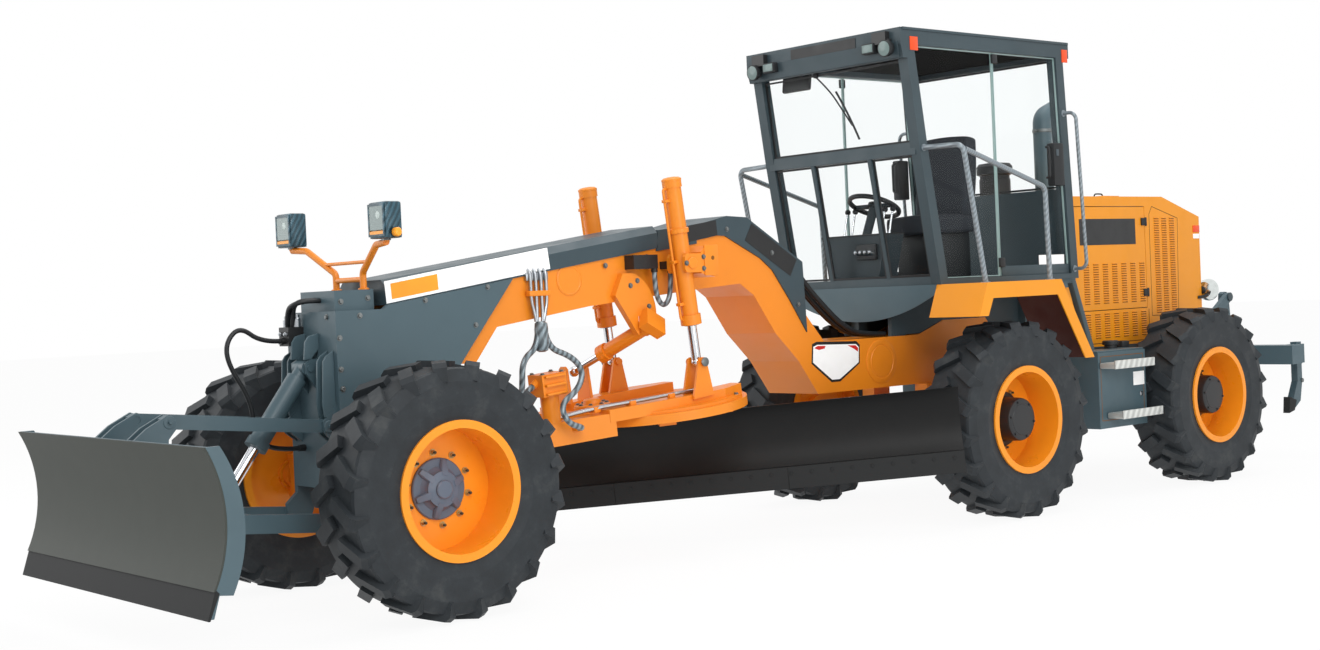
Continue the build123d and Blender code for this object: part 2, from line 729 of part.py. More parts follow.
# Front blade: curved skin, end plates, cutting edge and the brackets behind
dozer_middle_z = (dozer_top_z + dozer_bottom_z) / 2 + 20
with BuildPart() as front_blade:
    with BuildSketch(side_plane(dozer_half_width)):
        with BuildLine():
            ThreePointArc((ahead(dozer_face_x), dozer_top_z),
                          (ahead(dozer_face_x - dozer_hollow), dozer_middle_z),
                          (ahead(dozer_face_x - 20), dozer_bottom_z + 130))
            Polyline((ahead(dozer_face_x - 20), dozer_bottom_z + 130),
                     (ahead(dozer_face_x + 22), dozer_bottom_z),
                     (ahead(dozer_face_x - 4), dozer_bottom_z), (ahead(dozer_face_x - 44),
                                                                 dozer_bottom_z + 130))
            ThreePointArc((ahead(dozer_face_x - 44), dozer_bottom_z + 130),
                          (ahead(dozer_face_x - dozer_hollow - dozer_skin), dozer_middle_z),
                          (ahead(dozer_face_x - 20), dozer_top_z))
            Line((ahead(dozer_face_x - 20), dozer_top_z), (ahead(dozer_face_x), dozer_top_z))
        make_face()
    extrude(amount=2 * dozer_half_width)
    for hand in (1, -1):
        # End plates follow the skin's curve
        with BuildSketch(side_plane(hand * (dozer_half_width - 10) + 10)):
            with BuildLine():
                ThreePointArc((ahead(dozer_face_x - 6), dozer_top_z),
                              (ahead(dozer_face_x - dozer_hollow - 8), dozer_middle_z),
                              (ahead(dozer_face_x - 30), dozer_bottom_z + 110))
                Line((ahead(dozer_face_x - 30), dozer_bottom_z + 110),
                     (ahead(dozer_face_x - 110), dozer_bottom_z + 100))
                ThreePointArc((ahead(dozer_face_x - 110), dozer_bottom_z + 100),
                              (ahead(dozer_face_x - dozer_hollow - 95), dozer_middle_z),
                              (ahead(dozer_face_x - 75), dozer_top_z))
                Line((ahead(dozer_face_x - 75), dozer_top_z), (ahead(dozer_face_x - 6), dozer_top_z))
            make_face()
        extrude(amount=20)
        # Uprights for the upper links and the arms
        for step in (-40, 40):
            y = hand * link_side_y + step
            plate(side([(upper_blade_pin[0] - 45, upper_blade_pin[1] - 30),
                        (upper_blade_pin[0] - 40, upper_blade_pin[1] + 25),
                        (upper_blade_pin[0], upper_blade_pin[1] + 42),
                        (6240, 1150),
                        (6330, dozer_top_z - 20),
                        (dozer_face_x - dozer_hollow - 4, dozer_middle_z),
                        (6200, 640),
                        (6150, 760),
                        (6120, 1080)]), y, 18)
        y = hand * (front_frame_half_width - 18)
        plate(side([(lower_blade_pin[0] - 46, lower_blade_pin[1] - 30),
                    (lower_blade_pin[0] - 46, lower_blade_pin[1] + 30),
                    (lower_blade_pin[0], lower_blade_pin[1] + 50), (6180,
                                                                    760), (dozer_face_x - dozer_hollow - 4,
                                                                           dozer_middle_z),
                    (6300, 480), (6190, 500), (lower_blade_pin[0], lower_blade_pin[1] - 48)]), y, 30)
        bar((ahead(upper_blade_pin[0]), hand * (link_side_y + 60), upper_blade_pin[1]),
            (ahead(upper_blade_pin[0]), hand * (link_side_y - 60), upper_blade_pin[1]),
            link_pin_radius + running_fit, mode=Mode.SUBTRACT)
        bar((ahead(lower_blade_pin[0]), hand * (front_frame_half_width + 20), lower_blade_pin[1]),
            (ahead(lower_blade_pin[0]), hand * (front_frame_half_width - 60), lower_blade_pin[1]),
            link_pin_radius + running_fit, mode=Mode.SUBTRACT)
    # Cross tube behind the skin
    block((ahead(6195), -dozer_half_width + 40, 690), (ahead(6275), dozer_half_width - 40, 790))
save(front_blade.part, "front_blade")

# Drawbar swivel: vertical pin in the post's ears, level pin for the drawbar's fork
with BuildPart() as drawbar_swivel:
    bar((hitch_x, 0, ball_z - 95), (hitch_x, 0, ball_z + 95), 30)
    block((hitch_x - 42, -42, ball_z - 56), (hitch_x + 42, 42, ball_z + 56))
    bar((hitch_x, -86, ball_z), (hitch_x, 86, ball_z), 26)
with front_frame:
    add(drawbar_swivel.part)
save(front_frame.part, "front_frame")

# The circle's plane is tilted; the drawbar is built in it
tilt_cos, tilt_sin = cos(radians(circle_tilt)), sin(radians(circle_tilt))
circle_origin = Vector(ahead(circle_centre[0]), 0, circle_centre[1])
drawbar_frame = Plane(origin=circle_origin, x_dir=(tilt_cos, 0, -tilt_sin), z_dir=(tilt_sin, 0, tilt_cos))
ring_half = circle_thickness / 2
fork_local = drawbar_frame.to_local_coords(Vector(hitch_x, 0, ball_z))


def raised(plane, height):
    return Plane(origin=plane.from_local_coords((0, 0, height)), x_dir=plane.x_dir, z_dir=plane.z_dir)


plate_bottom = ring_half + face_gap
with BuildPart() as drawbar:
    # Round plate over the circle
    with BuildSketch(raised(drawbar_frame, plate_bottom)) as top_plate:
        Circle(circle_inner_radius + 70)
        with Locations((420, 0)):
            Rectangle(560, 620)
        Circle(250, mode=Mode.SUBTRACT)
    extrude(top_plate.sketch, amount=drawbar_plate)
    for hand in (1, -1):
        # Side beams: shallow over the circle, deep in front of it
        with BuildSketch(raised(drawbar_frame, plate_bottom)) as rear_beam:
            with BuildLine():
                Polyline((-430, hand * 400), (-430, hand * 300), (200, hand * 340), (700, hand * 260),
                         (700, hand * 370), (200, hand * 470), (-200, hand * 490), close=True)
            make_face()
        extrude(rear_beam.sketch, amount=drawbar_top - plate_bottom)
        with BuildSketch(raised(drawbar_frame, drawbar_low)) as front_beam:
            with BuildLine():
                Polyline((660, hand * 376), (660, hand * 276), (fork_local.X - 110, hand * 46),
                         (fork_local.X - 110, hand * 130), close=True)
            make_face()
        extrude(front_beam.sketch, amount=drawbar_top - 24 - drawbar_low)
        # Fork ears on the swivel's level pin
        ear_plane = side_plane(hand * 65 + 20)
        with BuildSketch(ear_plane) as ear:
            with Locations((hitch_x, ball_z)):
                Circle(44)
            with BuildLine():
                Polyline((hitch_x, ball_z + 44), (hitch_x, ball_z - 44), (hitch_x - 130, ball_z - 44),
                         (hitch_x - 130, ball_z + 60), close=True)
            make_face()
        extrude(ear.sketch, amount=40)
        # Upright ears on both sides of the lift rod's ball
        eye_x, eye_z = ahead(lift_eye[0]), lift_eye[1]
        for step in (-51, 51):
            y = hand * lift_side_y + step
            plate([(eye_x - 90, 1060), (eye_x + 90, 1040), (eye_x + 34, eye_z + 10),
                   (eye_x + 16, eye_z + 30),
                   (eye_x - 16, eye_z + 30), (eye_x - 34, eye_z + 10)], y, 18)
            bar((eye_x, y, eye_z), (eye_x, y + (30 if step > 0 else -30), eye_z), 24)
        # Shoes that hook under the circle's inner edge
        for along in (-260, 260):
            shoe_y = hand * sqrt((circle_inner_radius - 45) ** 2 - along**2)
            with BuildSketch(raised(drawbar_frame, -ring_half - 26)) as shoe:
                with Locations(Location((along, shoe_y), degrees(atan2(shoe_y, along)))):
                    Rectangle(60, 110)
            extrude(shoe.sketch, amount=plate_bottom + ring_half + 26)
            with BuildSketch(raised(drawbar_frame, -ring_half - 26)) as lip:
                with Locations(Location((along * 1.05, shoe_y * 1.05), degrees(atan2(shoe_y, along)))):
                    Rectangle(80, 110)
            extrude(lip.sketch, amount=26 - face_gap)
    # Cross beam at the front of the circle
    with BuildSketch(raised(drawbar_frame, plate_bottom)) as cross:
        with Locations((690, 0)):
            Rectangle(70, 640)
    extrude(cross.sketch, amount=drawbar_top - 24 - plate_bottom)
    # Upright ears for the swing rod's ball
    for step in (-88, 88):
        ear_plane = Plane(origin=(ahead(swing_eye[0]) + step - 9, swing_eye[1], swing_eye[2]),
                          x_dir=(0, 1, 0),
                          z_dir=(1, 0, 0))
        with BuildSketch(ear_plane) as ear:
            with BuildLine():
                Polyline((-80, -210), (80, -210), (40, 20), (20, 38), (-20, 38), (-40, 20), close=True)
            make_face()
        extrude(ear.sketch, amount=18)
    # Round housing of the worm gear that turns the circle
    with BuildSketch(raised(drawbar_frame, plate_bottom + drawbar_plate)) as worm_housing:
        with Locations(worm_place):
            Circle(worm_radius)
    extrude(worm_housing.sketch, amount=worm_height)
    # Its motor stands on the left side beam: a round drive below a square head
    with BuildSketch(raised(drawbar_frame, drawbar_top - 24)) as motor:
        with Locations(motor_place):
            Circle(motor_radius)
    extrude(motor.sketch, amount=motor_height)
    with BuildSketch(raised(drawbar_frame, drawbar_top - 24 + motor_height)) as motor_head:
        with Locations(motor_place):
            Rectangle(190, 150)
    extrude(motor_head.sketch, amount=motor_head_height)
    # Glands of the two wrapped hose bundles
    gland(front_bundle_route, 24, 50)
    gland(rear_bundle_route, 24, 50)
    bar((hitch_x, -120, ball_z), (hitch_x, 120, ball_z), 26 + running_fit, mode=Mode.SUBTRACT)
save(drawbar.part, "drawbar")

# Circle: ring, rear beam and the two arms that carry the moldboard
circle_x = drawbar_frame.x_dir * cos(radians(circle_turn)) + drawbar_frame.y_dir * sin(radians(circle_turn))
circle_frame = Plane(origin=circle_origin, x_dir=circle_x, z_dir=drawbar_frame.z_dir)
along_blade = circle_frame.y_dir
pivot_u, pivot_z = -560, -385
arm_inner = carrier_y + 30 + face_gap


def blade_section(v):
    """Plane across the moldboard at v: local x runs forward off the blade, local y up."""
    return Plane(origin=circle_frame.from_local_coords((0, v, 0)), x_dir=circle_frame.x_dir,
                 z_dir=-along_blade)


with BuildPart() as circle:
    with BuildSketch(raised(circle_frame, -ring_half)) as ring:
        Circle(circle_radius)
        with Locations((-545, 0)):
            Rectangle(190, 2 * arm_inner + 80)
        Circle(circle_inner_radius, mode=Mode.SUBTRACT)
    extrude(ring.sketch, amount=circle_thickness)
    for hand in (1, -1):
        arm_plane = blade_section(hand * (arm_inner + 20) + 20)
        with BuildSketch(arm_plane) as arm:
            with BuildLine():
                Polyline((-370, -ring_half), (-640, -ring_half), (-640, -300), (-625, -400), (-600, -440),
                         (-545, -445), (-520, -400), (-530, -340), (-565, -270), (-565, -190), (-500, -130),
                         (-400, -90), close=True)
            make_face()
            with Locations((pivot_u, pivot_z)):
                Circle(25 + running_fit, mode=Mode.SUBTRACT)
        extrude(arm.sketch, amount=40)
save(circle.part, "circle")

# Carrier: two brackets on the arms' pins, with bores for the slide rods
rod_u, rod_high, rod_low = -492, -232, -540
with BuildPart() as blade_carrier:
    for hand in (1, -1):
        with BuildSketch(blade_section(hand * carrier_y + 30)) as bracket:
            with BuildLine():
                Polyline((-452, -195), (-530, -195), (-600, -330), (-600, -440), (-530, -578), (-452, -578),
                         close=True)
            make_face()
            with Locations((rod_u, rod_high), (rod_u, rod_low)):
                Circle(slide_rod_radius + running_fit, mode=Mode.SUBTRACT)
        extrude(bracket.sketch, amount=60)
        with BuildSketch(blade_section(hand * carrier_y)) as pin:
            with Locations((pivot_u, pivot_z)):
                Circle(25)
        extrude(pin.sketch, amount=-hand * (70 + face_gap))
    with BuildSketch(blade_section(carrier_y)) as tube:
        with Locations((pivot_u, pivot_z)):
            Circle(38)
    extrude(tube.sketch, amount=2 * carrier_y)
save(blade_carrier.part, "blade_carrier")

# Moldboard: curved plate, cutting edge, and slide rods on end brackets
top_n = -moldboard_drop + moldboard_height
low_n = -moldboard_drop
face_u = -moldboard_setback
middle_n = (top_n + low_n) / 2
with BuildPart() as moldboard:
    end_v = moldboard_shift + moldboard_length / 2
    with BuildSketch(blade_section(end_v)) as skin:
        with BuildLine():
            ThreePointArc((face_u, top_n), (face_u - moldboard_hollow, middle_n),
                          (face_u - 20, low_n + 130))
            Line((face_u - 20, low_n + 130), (face_u - 20 - moldboard_skin, low_n + 130))
            ThreePointArc((face_u - 20 - moldboard_skin, low_n + 130),
                          (face_u - moldboard_hollow - moldboard_skin, middle_n),
                          (face_u - moldboard_skin, top_n))
            Line((face_u - moldboard_skin, top_n), (face_u, top_n))
        make_face()
        with BuildLine():
            Polyline((face_u - edge_lap, low_n), (face_u + edge_thickness, low_n),
                     (face_u - 20 + edge_thickness, low_n + edge_height),
                     (face_u - 22 - edge_lap, low_n + edge_height), close=True)
        make_face()
    extrude(skin.sketch, amount=moldboard_length)
    for hand in (1, -1):
        bracket_v = moldboard_shift + hand * 1110
        with BuildSketch(blade_section(bracket_v + 20)) as bracket:
            with BuildLine():
                Polyline((face_u - 108, -185), (-530, -185), (-530, -585), (face_u - 100, -585),
                         (face_u - moldboard_hollow - 8, middle_n), close=True)
            make_face()
        extrude(bracket.sketch, amount=40)
    with BuildSketch(blade_section(moldboard_shift + 1110)) as rods:
        with Locations((rod_u, rod_high), (rod_u, rod_low)):
            Circle(slide_rod_radius)
    extrude(rods.sketch, amount=2 * 1110)
save(moldboard.part, "moldboard")


# Lift cylinders: barrels on trunnion pins, rods that end in a ball on the drawbar
def ball_cylinder(pin, low, above, below, barrel_radius, rod_radius, rod_inside, stroke_in, ball_radius):
    """Barrel that runs past its pin, and rod with a ball at its end, as two parts."""
    pin, low = Vector(*pin), Vector(*low)
    run = (low - pin).normalized()
    gland = pin + run * below
    with BuildPart() as barrel:
        bar(pin - run * above, gland, barrel_radius)
        bar(pin - run * above, pin - run * (above - 45), barrel_radius + 7)
        bar(gland - run * 62, gland, barrel_radius + 12)
        bar(gland - run * (rod_inside + stroke_in + bore_spare), gland + run * 5, rod_radius + running_fit,
            mode=Mode.SUBTRACT)
    with BuildPart() as rod:
        bar(gland - run * rod_inside, low, rod_radius)
        with Locations(Location(low)):
            Sphere(ball_radius)
    return barrel, rod


for name, hand in (("left", 1), ("right", -1)):
    pin = (ahead(lift_trunnion[0]), hand * lift_side_y, lift_trunnion[1])
    low = (ahead(lift_eye[0]), hand * lift_side_y, lift_eye[1])
    barrel, rod = ball_cylinder(pin, low, lift_barrel_above, lift_barrel_below, lift_barrel_radius,
                                lift_rod_radius,
                                650, 195, 36)
    with barrel:
        reach = cheek_gap + cheek_thickness
        bar((pin[0], pin[1] - reach, pin[2]), (pin[0], pin[1] + reach, pin[2]), trunnion_radius)
        # The pins don't pass through the rod's bore
        run = (Vector(*low) - Vector(*pin)).normalized()
        bar(Vector(*pin) - run * 120, Vector(*pin) + run * 120, lift_rod_radius + running_fit,
            mode=Mode.SUBTRACT)
    save(barrel.part, "lift_barrel_" + name)
    save(rod.part, "lift_rod_" + name)

swing_low = Vector(ahead(swing_eye[0]), *swing_eye[1:])
swing_barrel, swing_rod = ball_cylinder(swing_top, swing_low, 10, 430, swing_barrel_radius,
                                        swing_rod_radius,
                                        300, 65, 36)
with swing_barrel:
    with Locations(Location(swing_top)):
        Sphere(swing_ball_radius)
save(swing_barrel.part, "swing_barrel")
save(swing_rod.part, "swing_rod")

# Rear frame: two rails, cross members, hood tray and the ripper's brackets
ripper_link_pin = (ripper_arm_pin[0], ripper_arm_pin[1] + ripper_link_rise)
arm_run = (-cos(radians(ripper_arm_angle)), sin(radians(ripper_arm_angle)))
ripper_low_pin = (ripper_arm_pin[0] + ripper_arm_length * arm_run[0],
                  ripper_arm_pin[1] + ripper_arm_length * arm_run[1])
ripper_high_pin = (ripper_low_pin[0], ripper_low_pin[1] + ripper_link_rise)
ripper_rod_pin = (ripper_arm_pin[0] + ripper_cylinder_reach * arm_run[0],
                  ripper_arm_pin[1] + ripper_cylinder_reach * arm_run[1])
ripper_pin_radius = 30
with BuildPart() as rear_frame:
    for hand in (1, -1):
        plate(side([(-900, beam_underside_z), (-900, rail_top_z), (rail_rear_x, rail_top_z),
                    (rail_rear_x, beam_underside_z)]), hand * (rail_half_width - 60), 120)
        # Plate below the rail for the ripper's arm, gusset above it for the link
        plate(side([(-3440, beam_underside_z + 30), (-3700, beam_underside_z + 30), (-3625, 820),
                    (-3590, 800),
                    (-3530, 800), (-3495, 820)]), hand * (rail_half_width - 20), 40)
        plate(side([(-3440, 1150), (-3640, 1150), (-3610, 1205), (-3500, 1205)]),
              hand * (rail_half_width - 20), 40)
        for pin in (ripper_arm_pin, ripper_link_pin):
            y = hand * (rail_half_width - 20)
            bar((ahead(pin[0]), y - 60, pin[1]), (ahead(pin[0]), y + 60, pin[1]),
                ripper_pin_radius + running_fit,
                mode=Mode.SUBTRACT)
    for x in (-1000, -1900, -2950, -3440):
        block((ahead(x) - 60, -rail_half_width + 90, beam_underside_z + 30),
              (ahead(x) + 60, rail_half_width - 90, rail_top_z - 20))
    # Tow tongue behind the last cross member
    block((ahead(-3625), -60, tow_plate_z - tow_plate / 2), (ahead(-3490), 60, tow_plate_z + tow_plate / 2))
    bar((ahead(tow_bore_x), 0, tow_plate_z - tow_plate), (ahead(tow_bore_x), 0, tow_plate_z + tow_plate),
        tow_bore_radius,
        mode=Mode.SUBTRACT)
    # Ears of the ripper's cylinder on the last cross member
    for hand in (1, -1):
        x, z = ripper_cylinder_pin
        plate(side([(-3385, 1150), (-3495, 1150), (x - 38, z - 28), (x - 44, z + 18), (x - 20, z + 44),
                    (x + 20, z + 44),
                    (x + 50, z + 20)]), hand * 68, 20)
    bar((ahead(ripper_cylinder_pin[0]), -95, ripper_cylinder_pin[1]),
        (ahead(ripper_cylinder_pin[0]), 95, ripper_cylinder_pin[1]),
        link_pin_radius + running_fit, mode=Mode.SUBTRACT)
    # Tray under the hood, open in the middle
    for hand in (1, -1):
        low_y, high_y = sorted((hand * (rail_half_width - 10), hand * hood_half_width))
        block((ahead(hood_rear_x), low_y, hood_base_z - 12), (ahead(hood_front_x), high_y, hood_base_z))
save(rear_frame.part, "rear_frame")

# Ripper: lower arms with their cross tube, upper links, and the bar with its shanks
ripper_arm_y = rail_half_width + face_gap + 20


def ripper_link(low, high, half, y):
    """Add a bar-shaped link in side view, rounded off at both pins."""
    along = (arm_run[0] * half, arm_run[1] * half)
    across = (-arm_run[1] * half, arm_run[0] * half)
    plate(side([
        (low[0] + across[0], low[1] + across[1]),
        (low[0] + across[0] / 2 - along[0], low[1] + across[1] / 2 - along[1]),
        (low[0] - across[0] / 2 - along[0], low[1] - across[1] / 2 - along[1]),
        (low[0] - across[0], low[1] - across[1]),
        (high[0] - across[0], high[1] - across[1]),
        (high[0] - across[0] / 2 + along[0], high[1] - across[1] / 2 + along[1]),
        (high[0] + across[0] / 2 + along[0], high[1] + across[1] / 2 + along[1]),
        (high[0] + across[0], high[1] + across[1]),
    ]), y, 40)


with BuildPart() as ripper_arms:
    for hand in (1, -1):
        y = hand * ripper_arm_y
        ripper_link(ripper_arm_pin, ripper_low_pin, 52, y)
        for pin in (ripper_arm_pin, ripper_low_pin):
            bar((ahead(pin[0]), y, pin[1]), (ahead(pin[0]), y - hand * 55, pin[1]), ripper_pin_radius)
        bar((ahead(ripper_rod_pin[0]), y, ripper_rod_pin[1]),
            (ahead(ripper_rod_pin[0]), hand * 46, ripper_rod_pin[1]), 38)
    tube_x = ahead(ripper_arm_pin[0] + ripper_tube_reach * arm_run[0])
    tube_z = ripper_arm_pin[1] + ripper_tube_reach * arm_run[1]
    bar((tube_x, -ripper_arm_y, tube_z), (tube_x, ripper_arm_y, tube_z), 24)
save(ripper_arms.part, "ripper_arms")
with BuildPart() as ripper_links:
    for hand in (1, -1):
        y = hand * ripper_arm_y
        ripper_link(ripper_link_pin, ripper_high_pin, 42, y)
        for pin in (ripper_link_pin, ripper_high_pin):
            bar((ahead(pin[0]), y, pin[1]), (ahead(pin[0]), y - hand * 55, pin[1]), ripper_pin_radius)
save(ripper_links.part, "ripper_links")

with BuildPart() as ripper:
    bar_x, bar_z = ripper_bar
    half_bar = ripper_bar_size / 2
    for hand in (1, -1):
        x, z = ripper_high_pin
        plate(side([(x + 46, z - 20), (x + 40, z + 30), (x + 10, z + 48), (x - 20, z + 46), (x - 50, z),
                    (x - 95, 1080),
                    (bar_x - half_bar, bar_z + half_bar - 5), (bar_x - half_bar, bar_z - half_bar),
                    (bar_x + half_bar, bar_z - half_bar), (x + 50,
                                                           1130)]), hand * (rail_half_width - 25), 50)
        for pin in (ripper_low_pin, ripper_high_pin):
            bar((ahead(pin[0]), hand * (rail_half_width - 60), pin[1]),
                (ahead(pin[0]), hand * (rail_half_width + 10), pin[1]),
                ripper_pin_radius + running_fit, mode=Mode.SUBTRACT)
    block((ahead(bar_x) - half_bar, -ripper_half_width, bar_z - half_bar),
          (ahead(bar_x) + half_bar, ripper_half_width, bar_z + half_bar))
    for y in (-820, 0, 820):
        plate(side([(bar_x - half_bar - 50, bar_z + half_bar + 20), (bar_x - half_bar - 50, 700),
                    (bar_x - 60, 560),
                    (bar_x + 20, shank_tip_z), (bar_x - 60, shank_tip_z + 20), (bar_x - half_bar - 90, 520),
                    (bar_x - half_bar - 130, 700), (bar_x - half_bar - 130,
                                                    bar_z + half_bar + 20)]), y, shank_thickness)
        block((ahead(bar_x) - half_bar - 140, y - 55, bar_z - half_bar),
              (ahead(bar_x) - half_bar + 10, y + 55, bar_z + half_bar))
save(ripper.part, "ripper")

ripper_barrel, ripper_rod = cylinder_pair(
    (ahead(ripper_cylinder_pin[0]), 0, ripper_cylinder_pin[1]),
    (ahead(ripper_rod_pin[0]), 0, ripper_rod_pin[1]),
    52, 28, 330, 250, 0, 38,
)
save(ripper_barrel, "ripper_cylinder_barrel")
save(ripper_rod, "ripper_cylinder_rod")

# Side boxes with their steps
with BuildPart() as side_boxes:
    for hand in (1, -1):
        low_y, high_y = sorted((hand * rail_half_width, hand * box_outer_y))
        block((ahead(box_rear_x), low_y, box_low_z), (ahead(box_front_x), high_y, box_top_z))
        for step_z, step_front, step_rear in ((1030, -1150, -1670), (640, -1230, -1760)):
            low_y, high_y = sorted((hand * box_outer_y, hand * (box_outer_y + 150)))
            block((ahead(step_rear), low_y, step_z - 20), (ahead(step_front), high_y, step_z + 20))
save(side_boxes.part, "side_boxes")

# Fenders over the middle wheels: folded sheet with a side lip
fender_line = [(520, 1480), (420, fender_top_z), (-440, fender_top_z), (-810, 1120)]
fender_inside = [(-810 + 12, 1120), (-440 + 6, fender_top_z - fender_skin),
                 (414, fender_top_z - fender_skin), (509, 1480)]
lip_inside = [(-700, 1120), (-392, fender_top_z - 112), (360, fender_top_z - 112), (420, 1480)]
with BuildPart() as fenders:
    for hand in (1, -1):
        middle = hand * (fender_inner_y + fender_outer_y) / 2
        plate(side(fender_line + fender_inside), middle, fender_outer_y - fender_inner_y)
        plate(side(fender_line + lip_inside), hand * (fender_outer_y - fender_skin / 2), fender_skin)
save(fenders.part, "fenders")

# Cab floor: deck, its legs on the main frame and the curved skirt in front
deck_low = fender_top_z - 70
with BuildPart() as cab_floor:
    block((ahead(-1250), -fender_inner_y, deck_low), (ahead(440), fender_inner_y, fender_top_z))
    for x, foot in ((250, beam_flange_z + 2), (-650, 1440)):
        for hand in (1, -1):
            block((ahead(x) - 50, hand * 190 - 40, foot), (ahead(x) + 50, hand * 190 + 40, deck_low + 5))
    with BuildSketch(Plane(origin=(ahead(432), 0, 0), x_dir=(0, 1, 0), z_dir=(1, 0, 0))):
        with BuildLine():
            Line((-fender_inner_y, deck_low + 5), (fender_inner_y, deck_low + 5))
            ThreePointArc((fender_inner_y, deck_low + 5), (0, deck_low - 190),
                          (-fender_inner_y, deck_low + 5))
        make_face()
    extrude(amount=8)
    # Rear legs of the deck on the rear frame
    for hand in (1, -1):
        block((ahead(-1200) - 40, hand * 270 - 40, rail_top_z),
              (ahead(-1200) + 40, hand * 270 + 40, deck_low + 5))
save(cab_floor.part, "cab_floor")

# Cab frame: posts, sills, bars and roof
post_y = cab_half_width - post_size / 2
half_post = post_size / 2
roof_low = cab_roof_z - roof_height
front_foot = (front_post_foot_x, fender_top_z)
front_top = (front_post_top_x - half_post, roof_low)
rear_foot = (rear_post_foot_x, fender_top_z)
rear_top = (rear_post_top_x, roof_low)


def post_outline(foot, knee, top):
    points = [foot, knee, top] if knee else [foot, top]
    front = [(x + half_post, z) for x, z in points]
    back = [(x - half_post, z) for x, z in reversed(points)]
    return side(front + back)


front_knee = (front_post_knee[0] - half_post, front_post_knee[1])
with BuildPart() as cab_frame:
    for hand in (1, -1):
        plate(post_outline(front_foot, front_knee, front_top), hand * post_y, post_size)
        plate(post_outline(rear_foot, None, rear_top), hand * post_y, post_size)
        block((ahead(rear_foot[0]), hand * post_y - half_post, fender_top_z),
              (ahead(front_foot[0]), hand * post_y + half_post, fender_top_z + 40))
    for foot in (front_foot, rear_foot):
        block((ahead(foot[0]) - half_post, -post_y, fender_top_z),
              (ahead(foot[0]) + half_post, post_y, fender_top_z + 60))
    block((ahead(front_knee[0]) - half_post, -post_y, front_knee[1] - 45),
          (ahead(front_knee[0]) + half_post, post_y, front_knee[1] + 45))
    for y in (-290, 290):
        plate(side([(front_foot[0] + 20, fender_top_z + 50), (front_foot[0] + 44, fender_top_z + 50),
                    (front_knee[0] + 40, front_knee[1] - 40), (front_knee[0] + 16,
                                                               front_knee[1] - 40)]), y, 34)
    # Rear wall below the rear window
    plate(side([(rear_foot[0] - 6, fender_top_z + 50), (rear_foot[0] + 6, fender_top_z + 50),
                (rear_foot[0] + 46, 2420), (rear_foot[0] + 34, 2420)]), 0, 2 * post_y)
    # Roof: shallow tray turned over, with a deep front panel
    with BuildSketch(Plane.XY.offset(roof_low)) as roof:
        with Locations((ahead((roof_front_x + roof_rear_x) / 2), 0)):
            Rectangle(roof_front_x - roof_rear_x, 2 * cab_half_width)
    extrude(roof.sketch, amount=roof_height)
    with BuildSketch(Plane.XY.offset(roof_low)) as tray:
        with Locations((ahead((roof_front_x - 130 + roof_rear_x + 60) / 2), 0)):
            Rectangle(roof_front_x - 130 - roof_rear_x - 60, 2 * post_y - post_size)
    extrude(tray.sketch, amount=roof_height - 12, mode=Mode.SUBTRACT)
    plate(side([(roof_front_x, roof_low + 5), (roof_front_x - 26, roof_low - 95),
                (roof_front_x - 70, roof_low - 95),
                (roof_front_x - 60, roof_low + 5)]), 0, 2 * cab_half_width)
    for hand in (1, -1):
        bar((ahead(door_hinge_x), hand * (cab_half_width - 27), fender_top_z + 10),
            (ahead(door_hinge_x), hand * (cab_half_width - 27),
             cab_roof_z - 40), 9 + running_fit, mode=Mode.SUBTRACT)
save(cab_frame.part, "cab_frame")

# Fixed panes
pane_y = cab_half_width - 27
pane_gap = 0.4
knee_run = (front_knee[0] - front_foot[0]) / (front_knee[1] - front_foot[1])
top_run = (front_top[0] - front_knee[0]) / (front_top[1] - front_knee[1])
rear_run = (rear_top[0] - rear_foot[0]) / (rear_top[1] - rear_foot[1])
upper_pane_low = front_knee[1] + 45 + pane_gap
upper_pane_high = roof_low - 95 - pane_gap


def front_x(z):
    """Middle of the front post at a height, ahead of the middle axle."""
    if z > front_knee[1]:
        return front_knee[0] + (z - front_knee[1]) * top_run
    return front_foot[0] + (z - front_foot[1]) * knee_run


def rear_x(z):
    return rear_foot[0] + (z - rear_foot[1]) * rear_run


side_low = fender_top_z + 40 + pane_gap
side_high = roof_low - pane_gap
with BuildPart() as cab_panes:
    inner = 2 * (post_y - half_post - pane_gap)
    lean = (upper_pane_low, upper_pane_high)
    plate(side([(front_x(lean[0]) - glass, lean[0]), (front_x(lean[0]), lean[0]),
                (front_x(lean[1]), lean[1]), (front_x(lean[1]) - glass, lean[1])]), 0, inner)
    lower = (fender_top_z + 60 + pane_gap, front_knee[1] - 45 - pane_gap)
    for low_y, high_y in ((-post_y + half_post, -307), (-273, 273), (307, post_y - half_post)):
        plate(side([(front_x(lower[0]) + 20 - glass, lower[0]), (front_x(lower[0]) + 20, lower[0]),
                    (front_x(lower[1]) + 20, lower[1]), (front_x(lower[1]) + 20 - glass, lower[1])]),
              (low_y + high_y) / 2, high_y - low_y - 2 * pane_gap)
    rear = (2420 + pane_gap, roof_low - pane_gap)
    plate(side([(rear_x(rear[0]) - glass, rear[0]), (rear_x(rear[0]), rear[0]),
                (rear_x(rear[1]), rear[1]), (rear_x(rear[1]) - glass, rear[1])]), 0, inner)
    for hand in (1, -1):
        plate(side([(door_hinge_x + 16, side_low), (front_x(side_low) - half_post - 1, side_low),
                    (front_x(front_knee[1]) - half_post - 1, front_knee[1]),
                    (front_x(side_high) - half_post - 1, side_high), (door_hinge_x + 16, side_high)]),
              hand * pane_y, glass)
save(cab_panes.part, "cab_panes")

